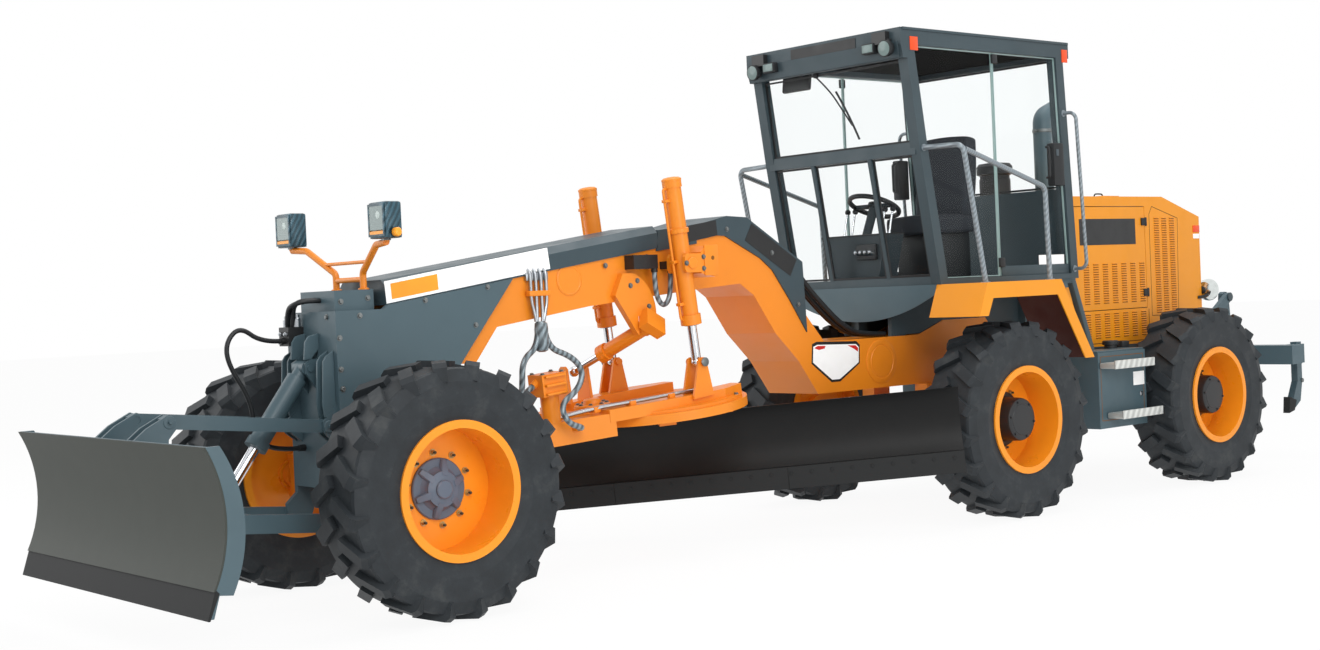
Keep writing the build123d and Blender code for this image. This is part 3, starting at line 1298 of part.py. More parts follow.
# Doors: glass pane with a bottom rail, pivot pins and a latch box
for name, hand in (("left", 1), ("right", -1)):
    with BuildPart() as cab_door:
        door_low, door_high = side_low, side_high
        plate(side([(door_hinge_x + 10, door_low), (door_hinge_x + 10, door_high),
                    (rear_x(door_high) + half_post + panel_gap, door_high),
                    (rear_x(door_low) + half_post + panel_gap, door_low)]), hand * pane_y, glass)
        plate(side([(door_hinge_x + 2, door_low), (door_hinge_x + 2, door_low + 70),
                    (rear_x(door_low + 70) + half_post + panel_gap, door_low + 70),
                    (rear_x(door_low) + half_post + panel_gap, door_low)]), hand * pane_y, 26)
        for start, end in ((fender_top_z + 12, door_low + 70), (door_high - 60, cab_roof_z - 45)):
            bar((ahead(door_hinge_x), hand * pane_y, start), (ahead(door_hinge_x), hand * pane_y, end), 9)
        low_y, high_y = sorted((hand * pane_y, hand * (cab_half_width + 34)))
        block((ahead(-1050), low_y, 2440), (ahead(-930), high_y, 2760))
    save(cab_door.part, "cab_door_" + name)

# Hood: thin shell on the tray, open at the doors and at the rear grille
hood_outline = [(hood_front_x, hood_base_z), (hood_front_x, hood_top_z), (hood_slope_x, hood_top_z),
                (hood_rear_x, hood_rear_top_z), (hood_rear_x, hood_base_z)]
hood_inside = [(hood_front_x - hood_wall, hood_base_z - 5),
               (hood_front_x - hood_wall, hood_top_z - hood_wall),
               (hood_slope_x, hood_top_z - hood_wall), (hood_rear_x + hood_wall,
                                                        hood_rear_top_z - hood_wall - 1),
               (hood_rear_x + hood_wall, hood_base_z - 5)]
with BuildPart() as hood:
    plate(side(hood_outline), 0, 2 * hood_half_width)
    extrude(outline(side_plane(hood_half_width - hood_wall), side(hood_inside)),
            amount=2 * (hood_half_width - hood_wall),
            mode=Mode.SUBTRACT)
    block((ahead(door_rear_x), -hood_half_width - 5, door_low_z),
          (ahead(door_front_x), hood_half_width + 5, door_high_z),
          mode=Mode.SUBTRACT)
    block((ahead(hood_rear_x) - 5, -hood_half_width + 70, 1330),
          (ahead(hood_rear_x) + 30, hood_half_width - 70, 2120),
          mode=Mode.SUBTRACT)
    block((ahead(hood_rear_x) - 5, -rail_half_width, hood_base_z - 5),
          (ahead(hood_front_x) + 5, rail_half_width, rail_top_z),
          mode=Mode.SUBTRACT)
save(hood.part, "hood")

for name, hand in (("left", 1), ("right", -1)):
    with BuildPart() as engine_door:
        plate(side([(door_front_x - panel_gap, door_low_z + panel_gap),
                    (door_front_x - panel_gap, door_high_z - panel_gap),
                    (door_rear_x + panel_gap, door_high_z - panel_gap), (door_rear_x + panel_gap,
                                                                         door_low_z + panel_gap)]),
              hand * (hood_half_width - hood_wall / 2), hood_wall)
        # Hinge leaves on the outside, beside the rear seam
        for z in (door_low_z + 130, door_high_z - 130):
            bar((ahead(door_rear_x), hand * (hood_half_width + 9), z - 35),
                (ahead(door_rear_x), hand * (hood_half_width + 9), z + 35), 8)
            low_y, high_y = sorted((hand * (hood_half_width - 2), hand * (hood_half_width + 8)))
            block((ahead(door_rear_x), low_y + (1 if hand > 0 else 0), z - 35),
                  (ahead(door_rear_x) + 45, high_y, z + 35))
    save(engine_door.part, "engine_door_" + name)

# Rear grille: frame with upright slats
with BuildPart() as rear_grille:
    grille_x = ahead(hood_rear_x)
    grille_y, grille_low, grille_high = hood_half_width - 70 - face_gap, 1330 + face_gap, 2120 - face_gap
    block((grille_x - 4, -grille_y, grille_low), (grille_x + hood_wall, grille_y, grille_high))
    block((grille_x - 10, -grille_y + 40, grille_low + 40),
          (grille_x + 20, grille_y - 40, grille_high - 40), mode=Mode.SUBTRACT)
    for number in range(-5, 6):
        y = number * 80
        block((grille_x - 2, y - 12, grille_low + 20), (grille_x + hood_wall, y + 12, grille_high - 20))
save(rear_grille.part, "rear_grille")

# Engine: one plain block on the rails
with BuildPart() as engine_block:
    block((ahead(-3050), -300, rail_top_z), (ahead(-1480), 300, 2060))

# Exhaust stack with a turned outlet
with BuildPart() as exhaust:
    stack_x = ahead(-1900)
    bar((stack_x, 0, hood_top_z), (stack_x, 0, hood_top_z + 30), 105)
    pipe([(stack_x, 0, hood_top_z), (stack_x, 0, 3080), (stack_x - 180, 0, 3150)], 78, 90)
    add(engine_block.part)
save(exhaust.part, "engine_and_exhaust")

# Guard rails and grab handles, each end on a small flange
flange = 6
with BuildPart() as guard_rails:
    for hand in (1, -1):
        wall_y = hand * (cab_half_width + flange / 2)
        pipe([(ahead(front_x(2700)), wall_y, 2700), (ahead(546), hand * rail_side_y, 2692),
              (ahead(357), hand * rail_side_y, fender_top_z + 4)], rail_tube_radius, 60)
        pipe([(ahead(528), hand * rail_side_y, 2660), (ahead(-370), hand * rail_side_y, 2397),
              (ahead(-389), hand * rail_side_y, fender_top_z + 4)], rail_tube_radius, 60)
        for x in (357, -389):
            bar((ahead(x), hand * rail_side_y, fender_top_z),
                (ahead(x), hand * rail_side_y, fender_top_z + flange), 34)
        for x, z in ((front_x(2700), 2700), (rear_x(3000), 3000), (rear_x(1790), 1790)):
            bar((ahead(x), hand * cab_half_width, z), (ahead(x), hand * (cab_half_width + flange), z), 26)
        pipe([(ahead(rear_x(3000)), wall_y, 3000),
              (ahead(rear_x(3000)), hand * (cab_half_width + 115), 3000),
              (ahead(rear_x(1790)), hand * (cab_half_width + 115), 1790), (ahead(rear_x(1790)), wall_y,
                                                                           1790)], 14, 60)
save(guard_rails.part, "guard_rails")

# Headlamp bracket on the front box, and all lamps
with BuildPart() as lamp_bracket:
    for hand in (1, -1):
        pipe([(ahead(4830), hand * 154, 1840), (ahead(4830), hand * 154, 1940),
              (ahead(4880), hand * 400, 2090),
              (ahead(4900), hand * 539, 2100)], 20, 40)
        bar((ahead(4900), hand * 539, 2100), (ahead(4900), hand * 539, 2120), 20)
    bar((ahead(4830), -154, 1900), (ahead(4830), 154, 1900), 16)
with BuildPart() as lamps:
    add(lamp_bracket.part)
    for hand in (1, -1):
        block((ahead(4850), hand * 539 - 85, 2120 + face_gap), (ahead(4950), hand * 539 + 85, 2320))
        block((ahead(roof_front_x) + face_gap, hand * 620 - 65, roof_low + 15),
              (ahead(roof_front_x) + 45, hand * 620 + 65, roof_low + 100))
        block((ahead(hood_rear_x) - 70, hand * 520 - 60, 1200),
              (ahead(hood_rear_x) - face_gap, hand * 520 + 60, 1310))
save(lamps.part, "lamps")

# Seat, console and steering wheel
with BuildPart() as seat:
    block((ahead(-620), -200, fender_top_z), (ahead(-260), 200, 2121))
    block((ahead(-650), -240, 2120), (ahead(-180), 240, 2240))
    plate(side([(-660, 2239), (-530, 2239), (-600, 2840), (-700, 2840)]), 0, 460, radius=25)
with BuildPart() as console:
    with BuildSketch(Plane(origin=(ahead(100), 0, 0), x_dir=(0, 1, 0), z_dir=(1, 0, 0))) as front:
        with BuildLine():
            Polyline((-380, fender_top_z), (60, fender_top_z), (170, 2110), (-500, 2110), close=True)
        make_face()
    extrude(amount=200)
    bar((ahead(160), -160, 2105), (ahead(60), -160, 2330), 35)
    wheel_plane = Plane(origin=(ahead(60), -160, 2330), z_dir=(-0.4, 0, 0.9))
    with BuildSketch(wheel_plane) as steering_wheel:
        Circle(210)
        Circle(180, mode=Mode.SUBTRACT)
        with Locations(Location((0, 0), 90)):
            Rectangle(380, 34)
        Circle(50)
    extrude(steering_wheel.sketch, amount=24)
    add(seat.part)
save(console.part, "seat_and_console")

# Black hose fittings: valve block on the front plate, manifold and fitting on the beam's left side
with BuildPart() as hose_fittings:
    block((ahead(front_plate_x), -200, 1530), (ahead(front_plate_x) + 100, -88, 1640))
    block((ahead(2725), beam_half_width, 1905), (ahead(2930), beam_half_width + 95, 1996))
    block((ahead(2570), beam_half_width, 1900), (ahead(2630), beam_half_width + 95, 1950))
    gland(list(reversed(front_hose_route)), 20, 24)
    gland(front_hose_route, 20, 40)
    gland(list(reversed(cover_hose_route)), 22, 24)
    gland(cover_hose_route, 22, 24)
save(hose_fittings.part, "hose_fittings")

# Free hoses: one tube along each route
for name, route, radius, bend in hoses:
    with BuildPart() as hose:
        pipe(route, radius, bend)
    save(hose.part, name)
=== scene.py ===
import math

import bpy
from mathutils import Euler, Matrix, Vector


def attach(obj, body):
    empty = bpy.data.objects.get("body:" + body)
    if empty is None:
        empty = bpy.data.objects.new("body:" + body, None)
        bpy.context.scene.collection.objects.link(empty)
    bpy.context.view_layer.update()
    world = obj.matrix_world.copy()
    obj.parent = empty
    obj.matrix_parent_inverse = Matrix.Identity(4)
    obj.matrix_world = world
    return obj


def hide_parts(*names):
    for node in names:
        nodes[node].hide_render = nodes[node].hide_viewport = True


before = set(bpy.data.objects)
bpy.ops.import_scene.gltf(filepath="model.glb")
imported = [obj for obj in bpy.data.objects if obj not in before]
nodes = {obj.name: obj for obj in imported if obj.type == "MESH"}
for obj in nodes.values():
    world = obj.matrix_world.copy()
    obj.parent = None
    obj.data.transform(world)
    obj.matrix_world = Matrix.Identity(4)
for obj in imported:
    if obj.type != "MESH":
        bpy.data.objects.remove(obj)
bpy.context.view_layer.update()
axleX = -0.95  # the middle axle in the frame; places below are measured ahead of it
wheelHeight = 0.715
bothSides = (("Left", 1), ("Right", -1))


def spot(x, y, z):
    return Vector((axleX + x, y, z))


def spots(points):
    return [spot(*point) for point in points]


def clearSelection():
    bpy.ops.object.select_all(action="DESELECT")


def newMaterial(name):
    material = bpy.data.materials.new(name)
    material.use_nodes = True
    return material, material.node_tree, material.node_tree.nodes["Principled BSDF"]


def fill(tree, node, inputs):
    # each input takes a value or the output of another node
    for key, value in inputs.items():
        if isinstance(value, bpy.types.NodeSocket):
            tree.links.new(value, node.inputs[key])
        else:
            node.inputs[key].default_value = value


def addNode(tree, kind, output, inputs={}, **settings):
    # returns the output of the new node that is used next
    node = tree.nodes.new("ShaderNode" + kind)
    for key, value in settings.items():
        setattr(node, key, value)
    fill(tree, node, inputs)
    return node.outputs[output]


def mathNode(tree, operation, first, second):
    return addNode(tree, "Math", "Value", {0: first, 1: second}, operation=operation)


# Camera, light and floor

cameraSettings = {
    "place": (9.138, 8.917, 1.744),
    "yaw": -130.638,
    "pitch": -1.063,
    "roll": -2.541,
    "focalPixels": 1727.28,
    "imageWidth": 1320,
    "sensor": 36,
}

lightSettings = {
    "worldLight": 0.72,
    "floorColour": (0.9, 0.9, 0.9, 1),
    "floorWhite": 0.93,
    "lamps": [
        # name, place, power in watts, size
        ("keyLamp", (8.0, 11.0, 9.0), 760, 7.0),
        ("topLamp", (-1.0, 1.0, 11.0), 520, 9.0),
        ("fillLamp", (9.0, -8.0, 5.0), 260, 7.0),
        ("sideLamp", (1.5, 12.0, 2.2), 230, 6.0),
    ],
}


def makeCamera(s):
    yaw, pitch, roll = (math.radians(s[key]) for key in ("yaw", "pitch", "roll"))
    gaze = Vector((math.cos(yaw) * math.cos(pitch), math.sin(yaw) * math.cos(pitch), math.sin(pitch)))
    right = gaze.cross(Vector((0, 0, 1))).normalized()
    up = right.cross(gaze)
    rightTurned = math.cos(roll) * right + math.sin(roll) * up
    upTurned = -math.sin(roll) * right + math.cos(roll) * up
    data = bpy.data.cameras.new("photoCamera")
    data.sensor_width = s["sensor"]
    data.lens = s["focalPixels"] / s["imageWidth"] * s["sensor"]
    data.clip_end = 200
    camera = bpy.data.objects.new("photoCamera", data)
    bpy.context.scene.collection.objects.link(camera)
    turn = Matrix((rightTurned, upTurned, -gaze)).transposed().to_4x4()
    camera.matrix_world = Matrix.Translation(Vector(s["place"])) @ turn
    bpy.context.scene.camera = camera


def whiteRays(tree):
    # camera, glossy and transmission rays see the background white
    isCamera, isGlossy, isThrough = (
        addNode(tree, "LightPath", "Is " + kind + " Ray") for kind in ("Camera", "Glossy", "Transmission"))
    return mathNode(tree, "MAXIMUM", mathNode(tree, "MAXIMUM", isCamera, isGlossy), isThrough)


def makeStudio(s):
    world = bpy.data.worlds.new("studioWorld")
    bpy.context.scene.world = world
    world.use_nodes = True
    tree = world.node_tree
    tree.nodes.clear()
    lit, seen = (
        addNode(tree, "Background", "Background", {"Color": (1, 1, 1, 1), "Strength": strength})
        for strength in (s["worldLight"], 1))
    sky = addNode(tree, "MixShader", "Shader", {"Fac": whiteRays(tree), 1: lit, 2: seen})
    fill(tree, tree.nodes.new("ShaderNodeOutputWorld"), {"Surface": sky})
    for name, place, power, size in s["lamps"]:
        data = bpy.data.lights.new(name, "AREA")
        data.shape = "DISK"
        data.energy = power
        data.size = size
        lamp = bpy.data.objects.new(name, data)
        bpy.context.scene.collection.objects.link(lamp)
        lamp.location = place
        lamp.rotation_euler = (Vector((0, 0, 1.2)) - Vector(place)).to_track_quat("-Z", "Y").to_euler()
    clearSelection()
    bpy.ops.mesh.primitive_plane_add(size=140, location=(0, 0, -0.002))
    floor = bpy.context.object
    floor.name = "studioFloor"
    material, tree, shader = newMaterial("paleFloor")
    fill(tree, shader, {"Base Color": s["floorColour"], "Roughness": 0.9, "Specular IOR Level": 0.1})
    share = mathNode(tree, "MULTIPLY", whiteRays(tree), s["floorWhite"])
    glow = addNode(tree, "Emission", "Emission")
    mixed = addNode(tree, "MixShader", "Shader", {"Fac": share, 1: shader.outputs["BSDF"], 2: glow})
    fill(tree, tree.nodes["Material Output"], {"Surface": mixed})
    floor.data.materials.append(material)
    bpy.context.scene.view_settings.view_transform = "Standard"


makeCamera(cameraSettings)
makeStudio(lightSettings)
print("camera and studio set")


# Finishes

def look(red, green, blue):
    # a colour as a screen shows it, 0 to 255, made linear
    def linear(value):
        value = value / 255
        return value / 12.92 if value <= 0.04045 else ((value + 0.055) / 1.055) ** 2.4
    return (linear(red), linear(green), linear(blue), 1)


def objectPlace(tree):
    return addNode(tree, "TexCoord", "Object")


def heightOf(tree):
    return addNode(tree, "SeparateXYZ", "Z", {"Vector": objectPlace(tree)})


def clouds(tree, scale, detail=4, rough=0.55):
    inputs = {"Scale": scale, "Detail": detail, "Roughness": rough, "Vector": objectPlace(tree)}
    return addNode(tree, "TexNoise", "Fac", inputs)


def ramp(tree, factor, stops):
    node = tree.nodes.new("ShaderNodeValToRGB")
    node.color_ramp.elements[0].position, node.color_ramp.elements[0].color = stops[0]
    node.color_ramp.elements[1].position, node.color_ramp.elements[1].color = stops[-1]
    for position, colour in stops[1:-1]:
        element = node.color_ramp.elements.new(position)
        element.color = colour
    fill(tree, node, {"Fac": factor})
    return node.outputs["Color"]


def mixColours(tree, factor, first, second):
    return addNode(tree, "Mix", "Result", {"A": first, "B": second, "Factor": factor}, data_type="RGBA")


def bump(tree, height, strength=0.08, distance=0.0006):
    return addNode(tree, "Bump", "Normal", {"Strength": strength, "Distance": distance, "Height": height})


def shade(colour, factor):
    return (colour[0] * factor, colour[1] * factor, colour[2] * factor, 1)


def grey(value):
    return (value, value, value, 1)


def paint(name, colour, roughness, coat=0.06, patch=0.05):
    material, tree, shader = newMaterial(name)
    patches = [(0.32, shade(colour, 1 - patch)), (0.5, colour), (0.7, shade(colour, 1 + patch * 0.5))]
    gloss = [(0.3, grey(roughness * 0.85)), (0.7, grey(roughness * 1.25))]
    fill(tree, shader, {
        "Base Color": ramp(tree, clouds(tree, 1.8, 5), patches),
        "Roughness": ramp(tree, clouds(tree, 7.0), gloss),
        "Coat Weight": coat,
        "Coat Roughness": 0.15,
        "Specular IOR Level": 0.36,
        "Normal": bump(tree, clouds(tree, 160, 3)),
    })
    return material


def dustyPaint(name, colour, dust, roughness):
    # paint with dust lying low on the machine, faded out towards one metre
    material, tree, shader = newMaterial(name)
    low = addNode(tree, "MapRange", "Result",
                  {"From Min": 1.1, "From Max": 0.2, "To Max": 0.55, "Value": heightOf(tree)})
    patchy = mathNode(tree, "MULTIPLY", low, clouds(tree, 9.0, 6, 0.65))
    fill(tree, shader, {
        "Base Color": mixColours(tree, patchy, colour, dust),
        "Roughness": roughness,
        "Specular IOR Level": 0.22,
        "Normal": bump(tree, clouds(tree, 160, 3)),
    })
    return material


def twoPaints(name, low, high, edge, roughness):
    # one node of two colours, parted at a height
    material, tree, shader = newMaterial(name)
    over = mathNode(tree, "GREATER_THAN", heightOf(tree), edge)
    fill(tree, shader, {
        "Base Color": mixColours(tree, over, low, high),
        "Roughness": roughness,
        "Normal": bump(tree, clouds(tree, 160, 3)),
    })
    return material


def metal(name, colour, roughness, grain=300):
    material, tree, shader = newMaterial(name)
    gloss = [(0.3, grey(roughness * 0.8)), (0.7, grey(roughness * 1.3))]
    fill(tree, shader, {
        "Metallic": 1,
        "Base Color": ramp(tree, clouds(tree, 25), [(0.3, shade(colour, 0.85)), (0.7, colour)]),
        "Roughness": ramp(tree, clouds(tree, 40), gloss),
        "Normal": bump(tree, clouds(tree, grain, 3), 0.08, 0.0004),
    })
    return material


def tyreRubber(name, colour, dust):
    material, tree, shader = newMaterial(name)
    patches = [(0.36, shade(colour, 0.75)), (0.54, colour), (0.74, dust)]
    fill(tree, shader, {
        "Base Color": ramp(tree, clouds(tree, 6.5, 6, 0.68), patches),
        "Roughness": 0.6,
        "Specular IOR Level": 0.35,
        "Normal": bump(tree, clouds(tree, 70, 6), 0.25, 0.002),
    })
    return material


def plain(name, colour, roughness=0.5, grain=200, bumpSize=0.0006):
    material, tree, shader = newMaterial(name)
    fill(tree, shader, {
        "Base Color": ramp(tree, clouds(tree, 8), [(0.3, shade(colour, 0.95)), (0.7, shade(colour, 1.03))]),
        "Roughness": roughness,
        "Specular IOR Level": 0.4,
        "Normal": bump(tree, clouds(tree, grain, 3), 0.12, bumpSize),
    })
    return material


def wrapped(name, colour, wrapScale, contrast=0.35):
    # spiral wrap on rails and hoses: slanted bands and crumpled film
    material, tree, shader = newMaterial(name)
    slanted = addNode(tree, "Mapping", "Vector", {"Rotation": (0.5, 0.4, 0.3), "Vector": objectPlace(tree)})
    bands = addNode(
        tree, "TexWave", "Fac", {"Scale": wrapScale, "Distortion": 2.5, "Detail": 3, "Vector": slanted})
    tones = [(0.1, shade(colour, 1 - contrast)), (0.5, colour), (0.9, shade(colour, 1 + contrast))]
    fill(tree, shader, {
        "Base Color": ramp(tree, bands, tones),
        "Roughness": 0.32,
        "Metallic": 0.25,
        "Normal": bump(tree, bands, 0.5, 0.003),
    })
    return material


def deadBlack(name):
    # near-black with almost no shine: painted shade
    material, tree, shader = newMaterial(name)
    tone = ramp(tree, clouds(tree, 40), [(0.3, grey(0.0005)), (0.7, grey(0.0015))])
    fill(tree, shader, {"Base Color": tone, "Roughness": 1, "Specular IOR Level": 0.02})
    return material


def clearGlass(name, tint, shine):
    material, tree, shader = newMaterial(name)
    tree.nodes.remove(shader)
    through = addNode(tree, "BsdfTransparent", "BSDF", {"Color": tint})
    gloss = addNode(tree, "BsdfGlossy", "BSDF", {"Roughness": 0.03})
    facing = addNode(tree, "LayerWeight", "Facing", {"Blend": 0.25})
    amount = mathNode(tree, "MULTIPLY", facing, shine)
    mixed = addNode(tree, "MixShader", "Shader", {"Fac": amount, 1: through, 2: gloss})
    fill(tree, tree.nodes["Material Output"], {"Surface": mixed})
    return material


orangeTone = look(230, 134, 30)
finishes = {
    "orange": paint("orangePaint", orangeTone, 0.36),
    "rimOrange": paint("rimPaint", look(240, 146, 28), 0.3),
    "yellow": paint("hoodPaint", look(230, 146, 20), 0.38),
    "slate": paint("slatePaint", look(72, 92, 100), 0.42, patch=0.1),
    "slateDark": paint("slateDarkPaint", look(56, 70, 76), 0.45, patch=0.12),
    "coverSlate": paint("coverPaint", look(52, 68, 75), 0.42, patch=0.06),
    "moldboardBlack": dustyPaint("moldboardPaint", look(18, 19, 20), look(44, 42, 39), 0.5),
    "dozerFace": plain("dozerFacePaint", look(56, 60, 55), 0.62, 90, 0.0008),
    "edgeSteel": plain("edgeSteel", look(22, 24, 25), 0.7, 60, 0.002),
    "blackPaint": paint("blackPaint", look(30, 31, 32), 0.42, coat=0.1),
    "blackPlastic": plain("blackPlastic", look(32, 34, 36), 0.5),
    # darker orange: painted shade in the louvre slots and in the arm plate's hole, and the dark seam round
    # the side box door
    "paintedShadeAndSeam": plain("paintedShadeAndSeam", look(128, 78, 18), 0.8),
    "seamShade": plain("seamShade", look(74, 50, 22), 0.8),
    "greyPlastic": plain("greyPlastic", look(74, 84, 90), 0.55),
    "tyre": tyreRubber("tyreRubber", look(38, 43, 47), look(58, 61, 62)),
    "hose": plain("hoseRubber", look(26, 28, 30), 0.45, 400),
    "wrappedHose": wrapped("wrappedHose", look(112, 124, 130), 9, 0.5),
    "hubGrey": plain("hubIron", look(90, 102, 118), 0.36, 90, 0.001),
    "hubBlack": plain("hubBlack", look(36, 38, 40), 0.42, 90),
    "chrome": metal("chromeRod", look(222, 224, 228), 0.12, 500),
    "zinc": metal("zincSteel", look(176, 180, 184), 0.32),
    "rail": wrapped("railWrap", look(128, 138, 144), 14, 0.22),
    "boltSteel": metal("boltSteel", look(128, 132, 132), 0.45),
    "glass": clearGlass("cabGlass", (0.985, 0.993, 0.993, 1), 0.03),
    "mirror": metal("mirrorSilver", look(235, 238, 240), 0.06, 30),
    "fabric": plain("seatCloth", look(44, 48, 54), 0.85, 900),
    "orangeLens": plain("orangeLens", look(232, 78, 28), 0.25),
    "amber": plain("amberBeacon", look(245, 160, 40), 0.3),
    "white": plain("whitePlate", look(255, 255, 254), 0.45, 300, 0.0001),
    "redBrown": paint("underPaint", look(88, 44, 36), 0.6, coat=0.0),
    "hubNut": metal("goldZinc", look(196, 168, 118), 0.38),
    "darkSteel": metal("darkSteel", look(84, 82, 78), 0.5),
    "roofShadeBlack": deadBlack("roofShadeBlack"),
    "glassEdge": plain("glassEdge", look(150, 176, 174), 0.3),
    "lens": plain("lampLens", look(112, 130, 128), 0.12, 120),
    "lampShell": wrapped("lampShell", look(44, 74, 86), 11),
    "lampPale": plain("lampPale", look(176, 190, 186), 0.2, 120),
    "lampSilver": metal("lampSilver", look(225, 230, 228), 0.15),
    "redLens": plain("redLens", look(170, 24, 20), 0.25),
    "redStripe": plain("redStripe", look(206, 36, 34), 0.4),
    "plateOrange": plain("plateOrange", look(244, 158, 34), 0.4),
    "stepWrap": wrapped("stepWrap", look(198, 200, 196), 5, 0.18),
    "lampsAndBracket": twoPaints("lampsAndBracket", orangeTone, look(30, 31, 32), 2.1202, 0.4),
    "seatAndConsole": plain("cabInside", look(44, 54, 59), 0.6),
}

wheelTable = [
    # name, wheel centre ahead of the middle axle, side
    ("front_left", 4.83, 1),
    ("front_right", 4.83, -1),
    ("middle_left", 0.0, 1),
    ("middle_right", 0.0, -1),
    ("rear_left", -2.52, 1),
    ("rear_right", -2.52, -1),
]
nodeFinish = {
    "orange": "main_frame axles knuckle_left knuckle_right drawbar circle blade_carrier lift_barrel_left "
              "lift_barrel_right swing_barrel",
    "slate": "front_frame side_boxes cab_floor blade_arms blade_links ripper ripper_arms ripper_links "
             "front_blade engine_and_exhaust blade_cylinder_barrel ripper_cylinder_barrel",
    "slateDark": "tie_rod rear_frame cab_frame",
    "coverSlate": "beam_covers",
    "yellow": "hood engine_door_left engine_door_right fenders",
    "moldboardBlack": "moldboard",
    "blackPaint": "rear_grille hose_fittings",
    "chrome": "lift_rod_left lift_rod_right swing_rod blade_cylinder_rod ripper_cylinder_rod",
    "rail": "guard_rails",
    "glass": "cab_panes cab_door_left cab_door_right",
    "seatAndConsole": "seat_and_console",
    "lampsAndBracket": "lamps",
    "tyre": " ".join("tyre_" + row[0] for row in wheelTable),
    "rimOrange": " ".join("rim_" + row[0] for row in wheelTable),
}
for finishName, nodeNames in nodeFinish.items():
    for nodeName in nodeNames.split():
        slots = nodes[nodeName].data.materials
        slots.clear()
        slots.append(finishes[finishName])
print("finishes given to the nodes")


# Ways of making pieces

def settle(piece, name, finish, body, smoothAngle=35):
    # the place goes into the mesh, and the piece rides on its body
    clearSelection()
    piece.select_set(True)
    bpy.context.view_layer.objects.active = piece
    bpy.ops.object.transform_apply(location=True, rotation=True, scale=True)
    bpy.ops.object.shade_smooth_by_angle(angle=math.radians(smoothAngle))
    piece.name = name
    piece.data.name = name
    piece.data.materials.clear()
    piece.data.materials.append(finishes[finish])
    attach(piece, body)
    return piece


def startBox(middle, size, edge):
    # block with bevelled edges, left in edit mode
    clearSelection()
    bpy.ops.mesh.primitive_cube_add(size=1, location=middle)
    piece = bpy.context.object
    piece.scale = size
    bpy.ops.object.transform_apply(location=False, rotation=False, scale=True)
    bpy.ops.object.mode_set(mode="EDIT")
    bpy.ops.mesh.select_all(action="SELECT")
    bpy.ops.mesh.bevel(offset=edge, segments=2, affect="EDGES")
    return piece


def boxPiece(name, middle, size, finish, edge=0.003, body="chassis", turn=(0, 0, 0)):
    # turned about its own middle by degrees
    piece = startBox(middle, size, min(edge, min(size) * 0.45))
    bpy.ops.object.mode_set(mode="OBJECT")
    piece.rotation_euler = Euler([math.radians(value) for value in turn])
    return settle(piece, name, finish, body)


def turnedPiece(name, start, direction, steps, finish, sides=24, body="chassis"):
    # steps are (radius, height) from the start outwards; each ring is extruded from the one before
    clearSelection()
    bpy.ops.mesh.primitive_circle_add(vertices=sides, radius=steps[0][0], fill_type="NGON")
    piece = bpy.context.object
    bpy.ops.object.mode_set(mode="EDIT")
    bpy.ops.mesh.select_all(action="SELECT")
    bpy.ops.transform.translate(value=(0, 0, steps[0][1]))
    for (radius, height), (nextRadius, nextHeight) in zip(steps, steps[1:]):
        bpy.ops.mesh.extrude_region_move(TRANSFORM_OT_translate={"value": (0, 0, nextHeight - height)})
        growth = nextRadius / radius
        bpy.ops.transform.resize(value=(growth, growth, 1))
    bpy.ops.mesh.select_all(action="SELECT")
    bpy.ops.mesh.normals_make_consistent(inside=False)
    bpy.ops.object.mode_set(mode="OBJECT")
    piece.rotation_euler = Vector(direction).to_track_quat("Z", "Y").to_euler()
    piece.location = start
    return settle(piece, name, finish, body, 30 if sides > 8 else 10)


def lineAlong(name, points, radius, roundness, smoothness):
    data = bpy.data.curves.new(name, "CURVE")
    data.dimensions = "3D"
    data.bevel_depth = radius
    data.bevel_resolution = roundness
    spline = data.splines.new("NURBS")
    spline.points.add(len(points) - 1)
    for point, place in zip(spline.points, points):
        point.co = (*place, 1)
    spline.order_u = 3
    spline.use_endpoint_u = True
    spline.resolution_u = smoothness
    piece = bpy.data.objects.new(name, data)
    bpy.context.scene.collection.objects.link(piece)
    return piece


def tubePiece(name, points, radius, finish, body="chassis"):
    # bent tube along a smooth line, made a mesh
    clearSelection()
    piece = lineAlong(name, points, radius, 3, 6)
    piece.data.use_fill_caps = True
    piece.select_set(True)
    bpy.context.view_layer.objects.active = piece
    bpy.ops.object.convert(target="MESH")
    return settle(bpy.context.object, name, finish, body, 60)


def copiesOf(model, name, places, body="chassis"):
    # a model at the origin, copied to every place and joined into one piece
    clearSelection()
    made = []
    for place in places:
        twin = model.copy()
        twin.data = model.data.copy()
        twin.data.transform(place)
        bpy.context.scene.collection.objects.link(twin)
        twin.select_set(True)
        made.append(twin)
    bpy.context.view_layer.objects.active = made[0]
    if len(made) > 1:
        bpy.ops.object.join()
    piece = bpy.context.view_layer.objects.active
    piece.name = name
    piece.data.name = name
    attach(piece, body)
    return piece


def dropModel(model):
    bpy.data.objects.remove(model)


def placed(place, direction=(0, 0, 1), spin=0):
    # the model's own Z points along the direction
    turn = Vector(direction).to_track_quat("Z", "Y").to_matrix().to_4x4()
    return Matrix.Translation(place) @ turn @ Matrix.Rotation(math.radians(spin), 4, "Z")


def boltModel(name, radius, height, finish, body="chassis"):
    # six-sided head on a washer
    washer = turnedPiece(
        name + "Washer", (0, 0, 0), (0, 0, 1), [(radius * 1.35, -0.001), (radius * 1.35, height * 0.22)],
        finish, 16, body)
    head = turnedPiece(
        name, (0, 0, 0), (0, 0, 1),
        [(radius * 0.98, 0), (radius, height * 0.25), (radius, height * 0.85), (radius * 0.82, height)],
        finish, 6, body)
    clearSelection()
    washer.select_set(True)
    head.select_set(True)
    bpy.context.view_layer.objects.active = head
    bpy.ops.object.join()
    return head


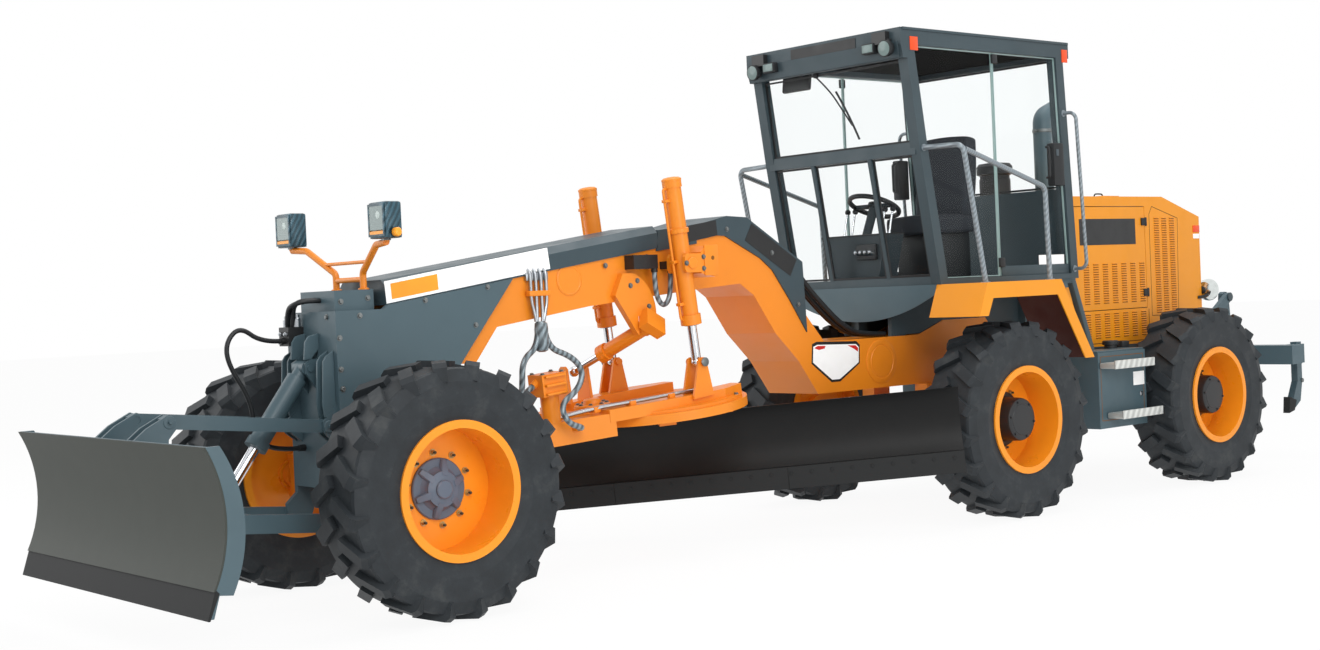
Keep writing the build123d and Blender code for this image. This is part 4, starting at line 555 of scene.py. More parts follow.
def startOutline(outline):
    # one flat face with these corners, left in edit mode
    clearSelection()
    bpy.ops.mesh.primitive_circle_add(vertices=len(outline), radius=1, fill_type="NGON")
    piece = bpy.context.object
    for vertex, corner in zip(piece.data.vertices, outline):
        vertex.co = corner
    bpy.ops.object.mode_set(mode="EDIT")
    bpy.ops.mesh.select_all(action="SELECT")
    return piece


def thicken(thickness):
    bpy.ops.mesh.extrude_region_move(TRANSFORM_OT_translate={"value": thickness})
    bpy.ops.mesh.select_all(action="SELECT")
    bpy.ops.mesh.normals_make_consistent(inside=False)


def platePiece(name, outline, thickness, finish, edge=0.0015, body="chassis"):
    # flat plate with these corners, thickened by a vector
    piece = startOutline(outline)
    thicken(thickness)
    if edge:
        bpy.ops.mesh.bevel(offset=edge, segments=1, affect="EDGES")
    bpy.ops.object.mode_set(mode="OBJECT")
    return settle(piece, name, finish, body)


def framePiece(name, outline, width, thickness, finish, body="chassis"):
    # open frame inside these corners
    piece = startOutline(outline)
    bpy.ops.mesh.inset(thickness=width)
    bpy.ops.mesh.delete(type="FACE")
    bpy.ops.mesh.select_all(action="SELECT")
    thicken(thickness)
    bpy.ops.object.mode_set(mode="OBJECT")
    return settle(piece, name, finish, body)


def sidePin(name, x, y, z, hand, steps, finish, sides=24, body="chassis"):
    # turned piece on the left or right side of the machine, looking outward
    return turnedPiece(name, spot(x, hand * y, z), (0, hand, 0), steps, finish, sides, body)


def sideOutline(points, y):
    # side-view corners on a plane across the machine
    return [spot(x, y, z) for x, z in points]


def arcPoints(first, middle, last, count):
    # points along the arc through three side-view points
    ax, az = first
    bx, bz = middle
    cx, cz = last
    d = 2 * (ax * (bz - cz) + bx * (cz - az) + cx * (az - bz))
    a, b, c = ax * ax + az * az, bx * bx + bz * bz, cx * cx + cz * cz
    ox = (a * (bz - cz) + b * (cz - az) + c * (az - bz)) / d
    oz = (a * (cx - bx) + b * (ax - cx) + c * (bx - ax)) / d
    radius = math.hypot(ax - ox, az - oz)
    start, end = math.atan2(az - oz, ax - ox), math.atan2(cz - oz, cx - ox)
    turn = (end - start + math.pi) % (2 * math.pi) - math.pi
    return [
        (ox + radius * math.cos(start + turn * i / count), oz + radius * math.sin(start + turn * i / count))
        for i in range(count + 1)
    ]


# Hoses that hang free

hoses = {
    "front_hose": {
        "points": [(5.224, -0.14, 1.562), (5.35, -0.14, 1.562), (5.48, -0.14, 1.66), (5.572, -0.14, 1.57),
                   (5.56, -0.14, 1.44), (5.43, -0.14, 1.23), (5.42, -0.14, 1.05), (5.33, -0.14, 0.93),
                   (5.14, -0.14, 0.93)],
        "radius": 0.014, "length": 1.293, "body": "chassis", "finish": "hose",
    },
    "cover_hose": {
        "points": [(2.738, 0.32, 1.881), (2.738, 0.32, 1.73), (2.669, 0.32, 1.645), (2.6, 0.32, 1.73),
                   (2.6, 0.32, 1.876)],
        "radius": 0.017, "length": 0.479, "body": "chassis", "finish": "wrappedHose",
    },
    "front_bundle": {
        "points": [(3.69, 0.3, 1.59), (3.69, 0.3, 1.45), (3.835, 0.32, 1.37), (3.84, 0.315, 1.21),
                   (3.8, 0.24, 1.13), (3.7, 0.228, 1.195)],
        "radius": 0.019, "length": 0.671, "body": "drawbar", "finish": "wrappedHose",
    },
    "rear_bundle": {
        "points": [(3.64, 0.3, 1.59), (3.64, 0.3, 1.44), (3.45, 0.325, 1.37), (3.375, 0.335, 1.27),
                   (3.43, 0.345, 1.16), (3.58, 0.35, 1.08), (3.57, 0.4, 0.96), (3.44, 0.41, 0.92),
                   (3.44, 0.346, 0.92)],
        "radius": 0.019, "length": 1.051, "body": "drawbar", "finish": "wrappedHose",
    },
}

for hoseName, hose in hoses.items():
    piece = lineAlong(hoseName + "Line", spots(hose["points"]), hose["radius"], 4, 12)
    piece.data.materials.append(finishes[hose["finish"]])
    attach(piece, hose["body"])
    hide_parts(hoseName)
print("hoses hung")


# Wheel hubs and nuts

frontHub = {
    "face": 0.835,
    "flange": [(0.172, -0.002), (0.172, 0.013), (0.166, 0.018), (0.12, 0.021)],
    "cone": [(0.13, 0.018), (0.112, 0.03), (0.1, 0.048), (0.099, 0.061), (0.06, 0.066), (0.054, 0.068)],
    "cap": [(0.052, 0.066), (0.052, 0.078), (0.046, 0.083), (0.02, 0.084)],
    "ribs": 6,
    "nuts": 10, "nutRing": 0.205, "nut": 0.0145, "nutHeight": 0.019,
}
rearHub = {
    "face": 0.95,
    "drum": [(0.2, -0.002), (0.2, 0.014), (0.192, 0.02), (0.166, 0.022), (0.158, 0.032), (0.156, 0.165),
             (0.15, 0.181), (0.14, 0.186), (0.118, 0.188)],
    "dish": [(0.116, 0.187), (0.112, 0.191), (0.06, 0.193)],
    "nuts": 10, "nutRing": 0.212, "nut": 0.0145, "nutHeight": 0.019,
    "plugRing": 0.132, "plugs": 6,
}


def onRing(radius, degrees, across):
    angle = math.radians(degrees)
    return Vector((radius * math.cos(angle), across, radius * math.sin(angle)))


wheelNut = boltModel("wheelNut", frontHub["nut"], frontHub["nutHeight"], "hubNut")
studEnd = turnedPiece(
    "studEnd", (0, 0, 0), (0, 0, 1), [(0.008, 0.016), (0.008, 0.032), (0.006, 0.034)], "darkSteel", 10)
hubRib = boxPiece("hubRib", (0.121, 0, 0.034), (0.086, 0.036, 0.05), "hubGrey", 0.005)
for vertex in hubRib.data.vertices:
    # the rib falls away and narrows towards its foot
    reach = max(0, (vertex.co.x - 0.078) / 0.086)
    if vertex.co.z > 0.03:
        vertex.co.z = 0.068 - 0.036 * reach ** 1.4
    vertex.co.y *= 1.1 - 0.35 * reach if vertex.co.z > 0.03 else 1.5 - 0.3 * reach

for wheelName, wheelX, hand in wheelTable:
    hub = frontHub if wheelName.startswith("front") else rearHub
    body = "wheel_" + wheelName
    tag = wheelName.replace("_", " ").title().replace(" ", "")
    start = spot(wheelX, hand * hub["face"], wheelHeight)
    outward = (0, hand, 0)
    if hub is frontHub:
        turnedPiece("hubFlange" + tag, start, outward, hub["flange"], "hubGrey", 48, body)
        turnedPiece("hubCone" + tag, start, outward, hub["cone"], "hubGrey", 36, body)
        turnedPiece("hubCap" + tag, start, outward, hub["cap"], "hubGrey", 32, body)
        copiesOf(
            hubRib, "hubRibs" + tag,
            [placed(start, outward, 360 / hub["ribs"] * i + 18) for i in range(hub["ribs"])], body)
    else:
        turnedPiece("hubDrum" + tag, start, outward, hub["drum"], "hubBlack", 48, body)
        turnedPiece("hubDish" + tag, start, outward, hub["dish"], "hubBlack", 40, body)
        plugPlaces = [
            placed(start + onRing(hub["plugRing"], 360 / hub["plugs"] * i + 10, hand * 0.186), outward)
            @ Matrix.Scale(0.55, 4) for i in range(hub["plugs"])]
        copiesOf(wheelNut, "hubPlugs" + tag, plugPlaces, body).data.materials[0] = finishes["hubBlack"]
    nutPlaces = [
        placed(start + onRing(hub["nutRing"], 360 / hub["nuts"] * i + 12, hand * 0.001), outward, 17 * i)
        for i in range(hub["nuts"])]
    copiesOf(wheelNut, "wheelNuts" + tag, nutPlaces, body)
    copiesOf(studEnd, "wheelStuds" + tag, nutPlaces, body)
dropModel(hubRib)
dropModel(studEnd)
print("wheel hubs made")


# Front blade: face skin, edge and pins

frontBlade = {
    "halfWidth": 1.199,
    "face": ((6.372, 1.099), (6.277, 0.705), (6.352, 0.4)),
    "skin": 0.012,
    "edgeOutline": [(6.353, 0.412), (6.401, 0.262), (6.388, 0.26), (6.331, 0.39)],
    "pinLook": [(0.036, -0.002), (0.036, 0.006), (0.033, 0.009), (0.02, 0.01)],
    "pinPlaces": [
        # x, outer y, z, body
        (5.153, 0.249, 1.07, "blade_links"),
        (6.112, 0.249, 1.172, "blade_links"),
        (5.103, 0.3275, 0.52, "blade_arms"),
        (6.062, 0.3275, 0.622, "blade_arms"),
    ],
}

faceLine = arcPoints(*frontBlade["face"], 16)
offset = frontBlade["skin"]
platePiece(
    "bladeFaceSkin",
    sideOutline(faceLine + [(x + offset, z) for x, z in reversed(faceLine)], frontBlade["halfWidth"]),
    (0, -2 * frontBlade["halfWidth"], 0), "dozerFace", 0, "front_blade")
platePiece(
    "bladeEdge", sideOutline(frontBlade["edgeOutline"], frontBlade["halfWidth"] + 0.002),
    (0, -2 * frontBlade["halfWidth"] - 0.004, 0), "edgeSteel", 0.003, "front_blade")
for number, (x, y, z, body) in enumerate(frontBlade["pinPlaces"]):
    for side, hand in bothSides:
        tag = str(number) + side
        sidePin("linkPin" + tag, x, y, z, hand, frontBlade["pinLook"], "slate", body=body)
        copiesOf(
            wheelNut, "linkPinBolt" + tag,
            [placed(spot(x, hand * (y + 0.008), z), (0, hand, 0)) @ Matrix.Scale(0.8, 4)],
            body).data.materials[0] = finishes["slate"]
print("front blade dressed")


# Front frame: bolts, pipes, valve parts, gussets and plates

frontFrame = {
    "boltY": 0.283,
    "bolts": [(4.941, 1.69), (4.493, 1.762), (4.042, 1.826), (5.079, 1.568), (5.079, 1.389),
              (5.073, 1.278), (4.141, 1.6)],
    "plateBolts": [(0.186, 1.69), (-0.21, 1.69), (0.186, 1.3), (-0.21, 1.3)],
    "boxBolts": [(4.83, 1.79), (5.01, 1.775)],
}
frameBolt = boltModel("frameBolt", 0.013, 0.012, "boltSteel")


def sideBolts(name, y, hand, corners):
    copiesOf(frameBolt, name, [placed(spot(x, y, z), (0, hand, 0)) for x, z in corners])


for tag, hand in bothSides:
    copiesOf(
        frameBolt, "frameBolts" + tag,
        [placed(spot(x, hand * frontFrame["boltY"], z), (0, hand, 0), 20 * i)
         for i, (x, z) in enumerate(frontFrame["bolts"])])
    sideBolts("boxBolts" + tag, hand * 0.195, hand, frontFrame["boxBolts"])
copiesOf(
    frameBolt, "frontPlateBolts", [placed(spot(5.1, y, z), (1, 0, 0)) for y, z in frontFrame["plateBolts"]])
valvePipes = {
    "boxPipeOne": [(5.03, -0.02, 1.79), (5.12, -0.03, 1.792), (5.165, -0.06, 1.775), (5.16, -0.1, 1.72),
                   (5.15, -0.125, 1.63)],
    "boxPipeTwo": [(5.03, 0.03, 1.785), (5.14, 0.03, 1.79), (5.2, -0.02, 1.77), (5.185, -0.12, 1.735),
                   (5.165, -0.16, 1.63)],
}
for pipeName, pipePoints in valvePipes.items():
    tubePiece(pipeName, spots(pipePoints), 0.015, "hose")
turnedPiece(
    "valveSolenoidOne", spot(5.13, -0.11, 1.638), (0, 0, 1),
    [(0.022, 0), (0.022, 0.05), (0.017, 0.056), (0.017, 0.075), (0.01, 0.078)], "zinc", 20)
turnedPiece(
    "valveSolenoidTwo", spot(5.165, -0.165, 1.638), (0, 0, 1),
    [(0.022, 0), (0.022, 0.04), (0.015, 0.045), (0.015, 0.065), (0.008, 0.068)], "zinc", 20)
for number, (y, z) in enumerate([(-0.11, 1.6), (-0.17, 1.6), (-0.175, 1.55)]):
    turnedPiece(
        "valvePlug" + str(number), spot(5.199, y, z), (1, 0, 0),
        [(0.013, 0), (0.013, 0.012), (0.008, 0.014), (0.008, 0.02)], "zinc", 6)

gusset = {
    "outline": [(5.1, 1.12), (5.175, 1.12), (5.185, 1.2), (5.17, 1.44), (5.15, 1.47), (5.1, 1.5)],
    "middle": [(5.1, 1.45), (5.2, 1.45), (5.19, 1.55), (5.165, 1.585), (5.1, 1.6)],
}
for tag, hand in bothSides:
    for number, y in enumerate((0.164, 0.232)):
        platePiece(
            "linkGusset" + tag + str(number), sideOutline(gusset["outline"], hand * y), (0, hand * 0.014, 0),
            "slate", 0.003)
    platePiece(
        "earGusset" + tag, sideOutline(gusset["middle"], hand * 0.068), (0, hand * 0.016, 0), "slate", 0.003)
turnedPiece(
    "bundleSleeve", spot(3.665, 0.3, 1.6), (0, 0, -1),
    [(0.026, 0), (0.04, 0.012), (0.044, 0.05), (0.042, 0.11), (0.046, 0.15), (0.038, 0.18), (0.02, 0.19)],
    "wrappedHose", body="drawbar")

# Plates: blank, as the lettering is left out
plates = {
    "longCoverPlate": (
        [(4.757, 1.882), (3.563, 2.058), (3.546, 1.926), (4.745, 1.752)], 0.262, 0.0015, "white"),
    "longCoverField": (
        [(4.716, 1.868), (4.389, 1.916), (4.383, 1.822), (4.709, 1.776)], 0.2634, 0.0008, "plateOrange"),
    "capPlateRear": (
        [(1.786, 2.196), (1.358, 1.938), (1.428, 1.822), (1.856, 2.08)], 0.262, 0.002, "blackPaint"),
    "beamShieldBlack": (
        [(1.226, 1.33), (1.18, 1.344), (0.765, 1.328), (0.729, 1.3), (0.737, 1.165), (0.95, 1.045),
         (1.04, 1.045), (1.24, 1.19)], 0.25, 0.0012, "blackPaint"),
    "beamShield": (
        [(1.215, 1.31), (1.175, 1.322), (0.77, 1.307), (0.742, 1.283), (0.749, 1.172), (0.955, 1.062),
         (1.035, 1.062), (1.226, 1.198)], 0.2512, 0.0008, "white"),
    "beamShieldRedFront": (
        [(1.208, 1.3), (1.17, 1.314), (1.09, 1.31), (1.1, 1.292), (1.16, 1.284)], 0.252, 0.0006, "redStripe"),
    "beamShieldRedRear": (
        [(0.86, 1.302), (0.775, 1.298), (0.75, 1.278), (0.752, 1.25), (0.8, 1.276)], 0.252, 0.0006,
        "redStripe"),
}
for plateName, (corners, y, depth, finish) in plates.items():
    platePiece(plateName, sideOutline(corners, y), (0, depth, 0), finish, 0)
print("front frame and plates dressed")


# Beam: the cap's front part, weld pads, bolts, hoses and side pipes

capBridge = [(2.3, 2.19), (2.64, 2.16), (2.66, 2.02), (2.3, 2.065)]
for tag, hand in bothSides:
    platePiece(
        "capBridge" + tag, sideOutline(capBridge, hand * 0.25), (0, hand * 0.012, 0), "coverSlate", 0.001)
platePiece(
    "capBridgeTop", sideOutline([(2.3, 2.19), (2.64, 2.16), (2.64, 2.148), (2.3, 2.178)], 0.25),
    (0, -0.5, 0), "coverSlate", 0.001)
platePiece(
    "capPlateFront", sideOutline([(2.12, 2.222), (2.56, 2.16), (2.545, 2.05), (2.11, 2.118)], 0.262),
    (0, 0.002, 0), "blackPaint", 0)
for tag, hand in bothSides:
    sidePin(
        "beamPad" + tag, 3.391, 0.249, 1.851, hand,
        [(0.1, -0.002), (0.1, 0.004), (0.096, 0.007), (0.088, 0.008), (0.084, 0.005)], "orange", 40)
    sidePin(
        "beamDisc" + tag, 0.5, 0.249, 1.165, hand,
        [(0.165, 0), (0.165, 0.004), (0.16, 0.006), (0.128, 0.006), (0.125, 0.003), (0.118, 0.003),
         (0.115, 0.006), (0.02, 0.006)], "orange", 48)
    sideBolts("capBolts" + tag, hand * 0.262, hand,
              [(1.36, 1.62), (1.6, 1.99), (2.02, 2.16), (2.75, 1.985), (3.1, 1.935)])
gooseTubes = {
    "beamHoseOne": [(1.29, 0.2, 1.84), (1.2, 0.2, 1.74), (1.02, 0.2, 1.58), (0.84, 0.2, 1.44),
                    (0.66, 0.2, 1.37), (0.4, 0.2, 1.365)],
    "beamHoseTwo": [(1.29, 0.15, 1.83), (1.19, 0.15, 1.72), (1.0, 0.15, 1.55), (0.83, 0.16, 1.42),
                    (0.66, 0.16, 1.366), (0.4, 0.16, 1.365)],
    "beamHoseThree": [(1.29, 0.1, 1.85), (1.2, 0.1, 1.75), (1.03, 0.1, 1.6), (0.85, 0.11, 1.45),
                      (0.66, 0.12, 1.37), (0.4, 0.12, 1.365)],
}
for tubeName, tubePoints in gooseTubes.items():
    tubePiece(tubeName, spots(tubePoints), 0.02, "hose")
sidePipes = {"x": (3.6, 3.72), "y": 0.285, "top": 1.9, "low": 1.6, "count": 4, "radius": 0.011}
for number in range(sidePipes["count"]):
    x = sidePipes["x"][0] + (sidePipes["x"][1] - sidePipes["x"][0]) * number / (sidePipes["count"] - 1)
    low = 3.64 if number < 2 else 3.69
    tubePiece(
        "sidePipe" + str(number),
        spots([(x, 0.24, sidePipes["top"] + 0.03), (x, 0.28, sidePipes["top"] + 0.02),
               (x, sidePipes["y"], sidePipes["top"] - 0.03), (x, sidePipes["y"], 1.72),
               (x * 0.5 + low * 0.5, sidePipes["y"] + 0.006, 1.66),
               (low + 0.008 * (number % 2), 0.296, sidePipes["low"])]), sidePipes["radius"], "zinc")
boxPiece("sidePipeClamp", spot(3.66, 0.28, 1.775), (0.165, 0.05, 0.034), "orange", 0.004)
boxPiece("sidePipeFoot", spot(3.66, 0.262, 1.88), (0.17, 0.03, 0.05), "zinc", 0.004)
print("beam dressed")


# Lift cylinders and swing cylinder: caps, pipes and collars

liftTop = Vector((2.592, 0.44, 1.93))
liftEye = Vector((2.509, 0.44, 1.28))
liftRun = (liftEye - liftTop).normalized()


def onLift(along, across, hand):
    # a place along the cylinder, then ahead of it
    ahead = Vector((-liftRun.z, 0, liftRun.x))
    at = liftTop + liftRun * along + ahead * across
    return spot(at.x, hand * at.y, at.z)


lift = {
    "collar": [(0.066, 0), (0.069, 0.003), (0.069, 0.03), (0.062, 0.034)],
    "cap": [(0.066, 0), (0.066, 0.012), (0.05, 0.022), (0.02, 0.026)],
}
for tag, hand in bothSides:
    body = "lift_barrel_" + tag.lower()
    up = (-liftRun.x, 0, -liftRun.z)
    turnedPiece("liftCap" + tag, onLift(-0.544, 0, hand), up, lift["cap"], "orange", 32, body)
    turnedPiece("liftCollar" + tag, onLift(-0.2, 0, hand), up, lift["collar"], "orange", 32, body)
    turnedPiece(
        "liftLowCollar" + tag, onLift(0.405, 0, hand), (liftRun.x, 0, liftRun.z),
        [(0.069, -0.02), (0.069, 0.0), (0.05, 0.003), (0.034, 0.004)], "orange", 32, body)
    tubePiece(
        "liftPipe" + tag,
        [onLift(-0.5, 0.05, hand), onLift(-0.5, 0.082, hand), onLift(-0.47, 0.084, hand),
         onLift(-0.1, 0.084, hand), onLift(0.1, 0.084, hand), onLift(0.33, 0.084, hand),
         onLift(0.36, 0.084, hand), onLift(0.365, 0.06, hand)], 0.009, "orange", body)
    for number, along in enumerate((-0.42, -0.02, 0.26)):
        boxPiece(
            "liftPipeClip" + tag + str(number), onLift(along, 0.07, hand), (0.045, 0.04, 0.02), "orange",
            0.003, body, (0, math.degrees(math.atan2(-liftRun.x, -liftRun.z)), 0))
    sidePin(
        "trunnionPin" + tag, 2.592, 0.5305, 1.93, hand,
        [(0.038, 0), (0.038, 0.008), (0.034, 0.012), (0.012, 0.013)], "orange")
    sideBolts("cheekBolts" + tag, hand * 0.531, hand, [(2.49, 1.968), (2.49, 1.892), (2.64, 1.93)])
    boxPiece("armPlate" + tag, spot(2.425, hand * 0.5325, 1.945), (0.12, 0.012, 0.2), "orange")
    # darker disc on the arm plate: painted shade in the hole
    sidePin("armHoleShade" + tag, 2.415, 0.5375, 1.96, hand, [(0.014, 0), (0.014, 0.0022)], "paintedShadeAndSeam", 20)
    turnedPiece(
        "rodGland" + tag, onLift(0.398, 0, hand), (liftRun.x, 0, liftRun.z),
        [(0.05, 0.0), (0.05, 0.012), (0.04, 0.014), (0.0335, 0.014)], "boltSteel", 32, body)
swingTop = Vector((2.8, 0.3, 1.53))
swingLow = Vector((2.96, -0.3, 1.24))
swingRun = (swingLow - swingTop).normalized()


def onSwing(along):
    at = swingTop + swingRun * along
    return spot(at.x, at.y, at.z)


turnedPiece(
    "swingGland", onSwing(0.424), swingRun, [(0.062, -0.03), (0.062, 0.004), (0.045, 0.01), (0.028, 0.011)],
    "orange", 32, "swing_barrel")
turnedPiece(
    "swingBallCap", onSwing(-0.05), -swingRun, [(0.032, 0), (0.032, 0.012), (0.02, 0.016)], "orange",
    body="swing_barrel")
sideBolts("swingPlateBolts", 0.3, 1, [(2.87, 1.83), (2.93, 1.8), (2.78, 1.66), (2.76, 1.53)])
print("cylinders dressed")


# Drawbar and circle

tilt = math.radians(5)
turn = math.radians(44)
circleMiddle = spot(2.5, 0, 0.965)
drawbarAhead = Vector((math.cos(tilt), 0, -math.sin(tilt)))
drawbarUp = Vector((math.sin(tilt), 0, math.cos(tilt)))
acrossDrawbar = Vector((0, 1, 0))
circleAhead = drawbarAhead * math.cos(turn) + acrossDrawbar * math.sin(turn)
alongBlade = -drawbarAhead * math.sin(turn) + acrossDrawbar * math.cos(turn)


def onDrawbar(u, v, height):
    return circleMiddle + drawbarAhead * u + acrossDrawbar * v + drawbarUp * height


def onCircle(u, v, height):
    return circleMiddle + circleAhead * u + alongBlade * v + drawbarUp * height


def ringPlace(radius, number, count, turn=0):
    angle = 2 * math.pi * number / count + turn
    return radius * math.cos(angle), radius * math.sin(angle)


def drawbarBox(name, u, v, height, size):
    # a box square to the tilted drawbar
    piece = boxPiece(name, (0, 0, 0), size, "orange", 0.004, "drawbar")
    piece.data.transform(placed(onDrawbar(u, v, height), drawbarUp))
    piece.data.update()


worm = {"u": 0.59, "v": 0.06, "top": 0.1123, "boltRing": 0.095, "bolts": 8}
turnedPiece(
    "wormCover", onDrawbar(worm["u"], worm["v"], worm["top"]), drawbarUp,
    [(0.118, -0.001), (0.118, 0.012), (0.112, 0.016), (0.06, 0.018), (0.055, 0.045), (0.045, 0.05),
     (0.02, 0.051)], "orange", 40, "drawbar")
wormBolts = []
for i in range(worm["bolts"]):
    u, v = ringPlace(worm["boltRing"], i, worm["bolts"])
    wormBolts.append(placed(onDrawbar(worm["u"] + u, worm["v"] + v, worm["top"] + 0.015), drawbarUp))
copiesOf(frameBolt, "wormBolts", wormBolts, "drawbar")
motor = {"u": 1.05, "v": 0.222, "top": 0.4}
for number, height in enumerate((0.275, 0.33, 0.385)):
    drawbarBox("motorRib" + str(number), motor["u"], motor["v"], height, (0.198, 0.158, 0.016))
motorBolts = []
for u, v in ((-0.075, -0.055), (0.075, -0.055), (-0.075, 0.055), (0.075, 0.055)):
    motorBolts.append(placed(onDrawbar(motor["u"] + u, motor["v"] + v, motor["top"]), drawbarUp))
copiesOf(frameBolt, "motorBolts", motorBolts, "drawbar")
# bolts around the circle, only where the drawbar's plate lies
plateRing = {"bolts": 18, "ring": 0.56, "turn": 0.1, "top": 0.0503, "reach": (0.3, 0.5)}
plateBolts = []
for i in range(plateRing["bolts"]):
    u, v = ringPlace(plateRing["ring"], i, plateRing["bolts"], plateRing["turn"])
    if u < plateRing["reach"][0] and abs(v) < plateRing["reach"][1]:
        plateBolts.append(placed(onDrawbar(u, v, plateRing["top"]), drawbarUp))
copiesOf(frameBolt, "circlePlateBolts", plateBolts, "drawbar")
drawbarPipes = {
    "drawbarPipeLeft": [(0.3, 0.385, 0.13), (0.5, 0.36, 0.13), (0.75, 0.3, 0.13), (1.1, 0.24, 0.105),
                        (1.35, 0.18, 0.105)],
    "drawbarPipeRight": [(-0.1, 0.415, 0.13), (0.2, 0.4, 0.13), (0.5, 0.33, 0.13), (0.75, 0.26, 0.13),
                         (1.0, 0.21, 0.108)],
}
for pipeName, pipePoints in drawbarPipes.items():
    tubePiece(pipeName, [onDrawbar(*point) for point in pipePoints], 0.012, "zinc", "drawbar")
    for number, (u, v, height) in enumerate(pipePoints[1:4]):
        drawbarBox(pipeName + "Clip" + str(number), u, v, height - 0.01, (0.03, 0.05, 0.036))
teeth = {"count": 96, "ring": 0.512, "size": (0.022, 0.018, 0.056)}
circleTooth = boxPiece("circleTooth", (0, 0, 0), teeth["size"], "darkSteel", body="circle")
circleAxes = Matrix((circleAhead, alongBlade, drawbarUp)).transposed().to_4x4()
toothPlaces = []
for i in range(teeth["count"]):
    at = onCircle(*ringPlace(teeth["ring"], i, teeth["count"]), 0)
    spin = Matrix.Rotation(2 * math.pi * i / teeth["count"], 4, "Z")
    toothPlaces.append(Matrix.Translation(at) @ circleAxes @ spin)
copiesOf(circleTooth, "circleTeeth", toothPlaces, "circle")
dropModel(circleTooth)
for tag, hand in bothSides:
    turnedPiece(
        "bladePivotPin" + tag, onCircle(-0.56, hand * 0.4715, -0.385), alongBlade * hand,
        [(0.036, -0.002), (0.036, 0.008), (0.03, 0.011), (0.012, 0.012)], "orange", body="circle")
    sidePin(
        "liftBallPin" + tag, 2.509, 0.5195, 1.28, hand, [(0.03, 0), (0.03, 0.008), (0.022, 0.012)],
        "boltSteel", body="drawbar")
print("drawbar and circle dressed")


# Moldboard: bolted cutting edge in three lengths

moldboardEdge = {
    "length": 3.66, "shift": 0.22, "face": -0.308, "low": -0.69, "thickness": 0.016,
    "boltRow": -0.585, "bolts": 26,
}
edgeFace = moldboardEdge["face"] - 0.01 + moldboardEdge["thickness"]
edgeBolt = boltModel("edgeBolt", 0.012, 0.006, "edgeSteel", "moldboard")
edgePlaces = []
for i in range(moldboardEdge["bolts"]):
    v = moldboardEdge["shift"] + moldboardEdge["length"] * ((i + 0.5) / moldboardEdge["bolts"] - 0.5)
    edgePlaces.append(placed(onCircle(edgeFace - 0.001, v, moldboardEdge["boltRow"]), circleAhead))
copiesOf(edgeBolt, "moldboardEdgeBolts", edgePlaces, "moldboard")
dropModel(edgeBolt)
for number, side in enumerate((-1, 0, 1)):
    v = moldboardEdge["shift"] + side * moldboardEdge["length"] / 3
    halfLength = moldboardEdge["length"] / 6 - 0.002
    corners = [
        onCircle(moldboardEdge["face"] + out, v + along, moldboardEdge["low"] + height)
        for along, height, out in ((-halfLength, 0.001, 0.0168), (halfLength, 0.001, 0.0168),
                                   (halfLength, 0.15, -0.0032), (-halfLength, 0.15, -0.0032))
    ]
    platePiece("moldboardEdge" + str(number), corners, circleAhead * 0.003, "edgeSteel", 0.001, "moldboard")
print("moldboard dressed")


# Cab: closing plates below the floor, edges of the panes, door parts, a near-black sheet of painted shade
# under the roof, visor and gaskets

cab = {
    "paneY": 0.76,
    "doorOutline": [(-0.292, 1.76), (-0.292, 3.426), (-1.052, 3.426), (-1.135, 1.76)],
    "sideOutline": [(-0.282, 1.76), (-0.282, 3.426), (0.608, 3.426), (0.507, 2.7), (0.342, 1.76)],
    "edge": 0.006,
}
for tag, hand in bothSides:
    platePiece(
        "cabSkirtPlate" + tag,
        spots([(-1.2, hand * 0.236, 1.35), (0.36, hand * 0.236, 1.35), (0.37, hand * 0.236, 1.66),
               (-1.2, hand * 0.236, 1.66)]), (0, hand * 0.008, 0), "slateDark", 0.002)
    y = hand * (cab["paneY"] - 0.007)
    depth = (0, hand * 0.014, 0)
    door = "cab_door_" + tag.lower()
    framePiece("doorEdge" + tag, sideOutline(cab["doorOutline"], y), cab["edge"], depth, "glassEdge", door)
    framePiece("sidePaneEdge" + tag, sideOutline(cab["sideOutline"], y), cab["edge"], depth, "glassEdge")
    boxPiece(
        "doorBottomRail" + tag, spot(-0.713, hand * 0.76, 1.793), (0.828, 0.03, 0.078), "slateDark", 0.004,
        door)
    boxPiece(
        "doorLatchBox" + tag, spot(-0.99, hand * 0.79, 2.6), (0.128, 0.072, 0.33), "blackPlastic", 0.012,
        door)
    boxPiece(
        "doorLatchKey" + tag, spot(-0.965, hand * 0.829, 2.69), (0.03, 0.008, 0.05), "greyPlastic",
        body=door)
    tubePiece(
        "doorHandle" + tag,
        spots([(-0.9, hand * 0.768, 2.735), (-0.9, hand * 0.8, 2.735), (-0.9, hand * 0.8, 2.7),
               (-0.9, hand * 0.8, 2.6), (-0.9, hand * 0.8, 2.53), (-0.9, hand * 0.8, 2.5),
               (-0.9, hand * 0.768, 2.5)]), 0.009, "blackPlastic", door)
    for number, z in enumerate((1.86, 3.38)):
        boxPiece(
            "doorHinge" + tag + str(number), spot(-0.3, hand * 0.776, z), (0.06, 0.022, 0.07),
            "blackPlastic", 0.005)
    boxPiece(
        "roofReflectorFront" + tag, spot(0.616, hand * 0.789, 3.44), (0.084, 0.008, 0.098), "orangeLens")
    boxPiece("roofReflectorRear" + tag, spot(-1.156, hand * 0.789, 3.446), (0.07, 0.008, 0.1), "orangeLens")
    boxPiece("roofGutter" + tag, spot(-0.235, hand * 0.7885, 3.543), (1.94, 0.012, 0.02), "slateDark")
# near-black sheet under the roof: painted shade inside the cab top
platePiece(
    "cabRoofShadeSheet", spots([(0.62, 0.69, 3.5), (0.62, -0.69, 3.5), (-1.14, -0.69, 3.5), (-1.14, 0.69, 3.5)]),
    (0, 0, -0.03), "roofShadeBlack", 0.004)
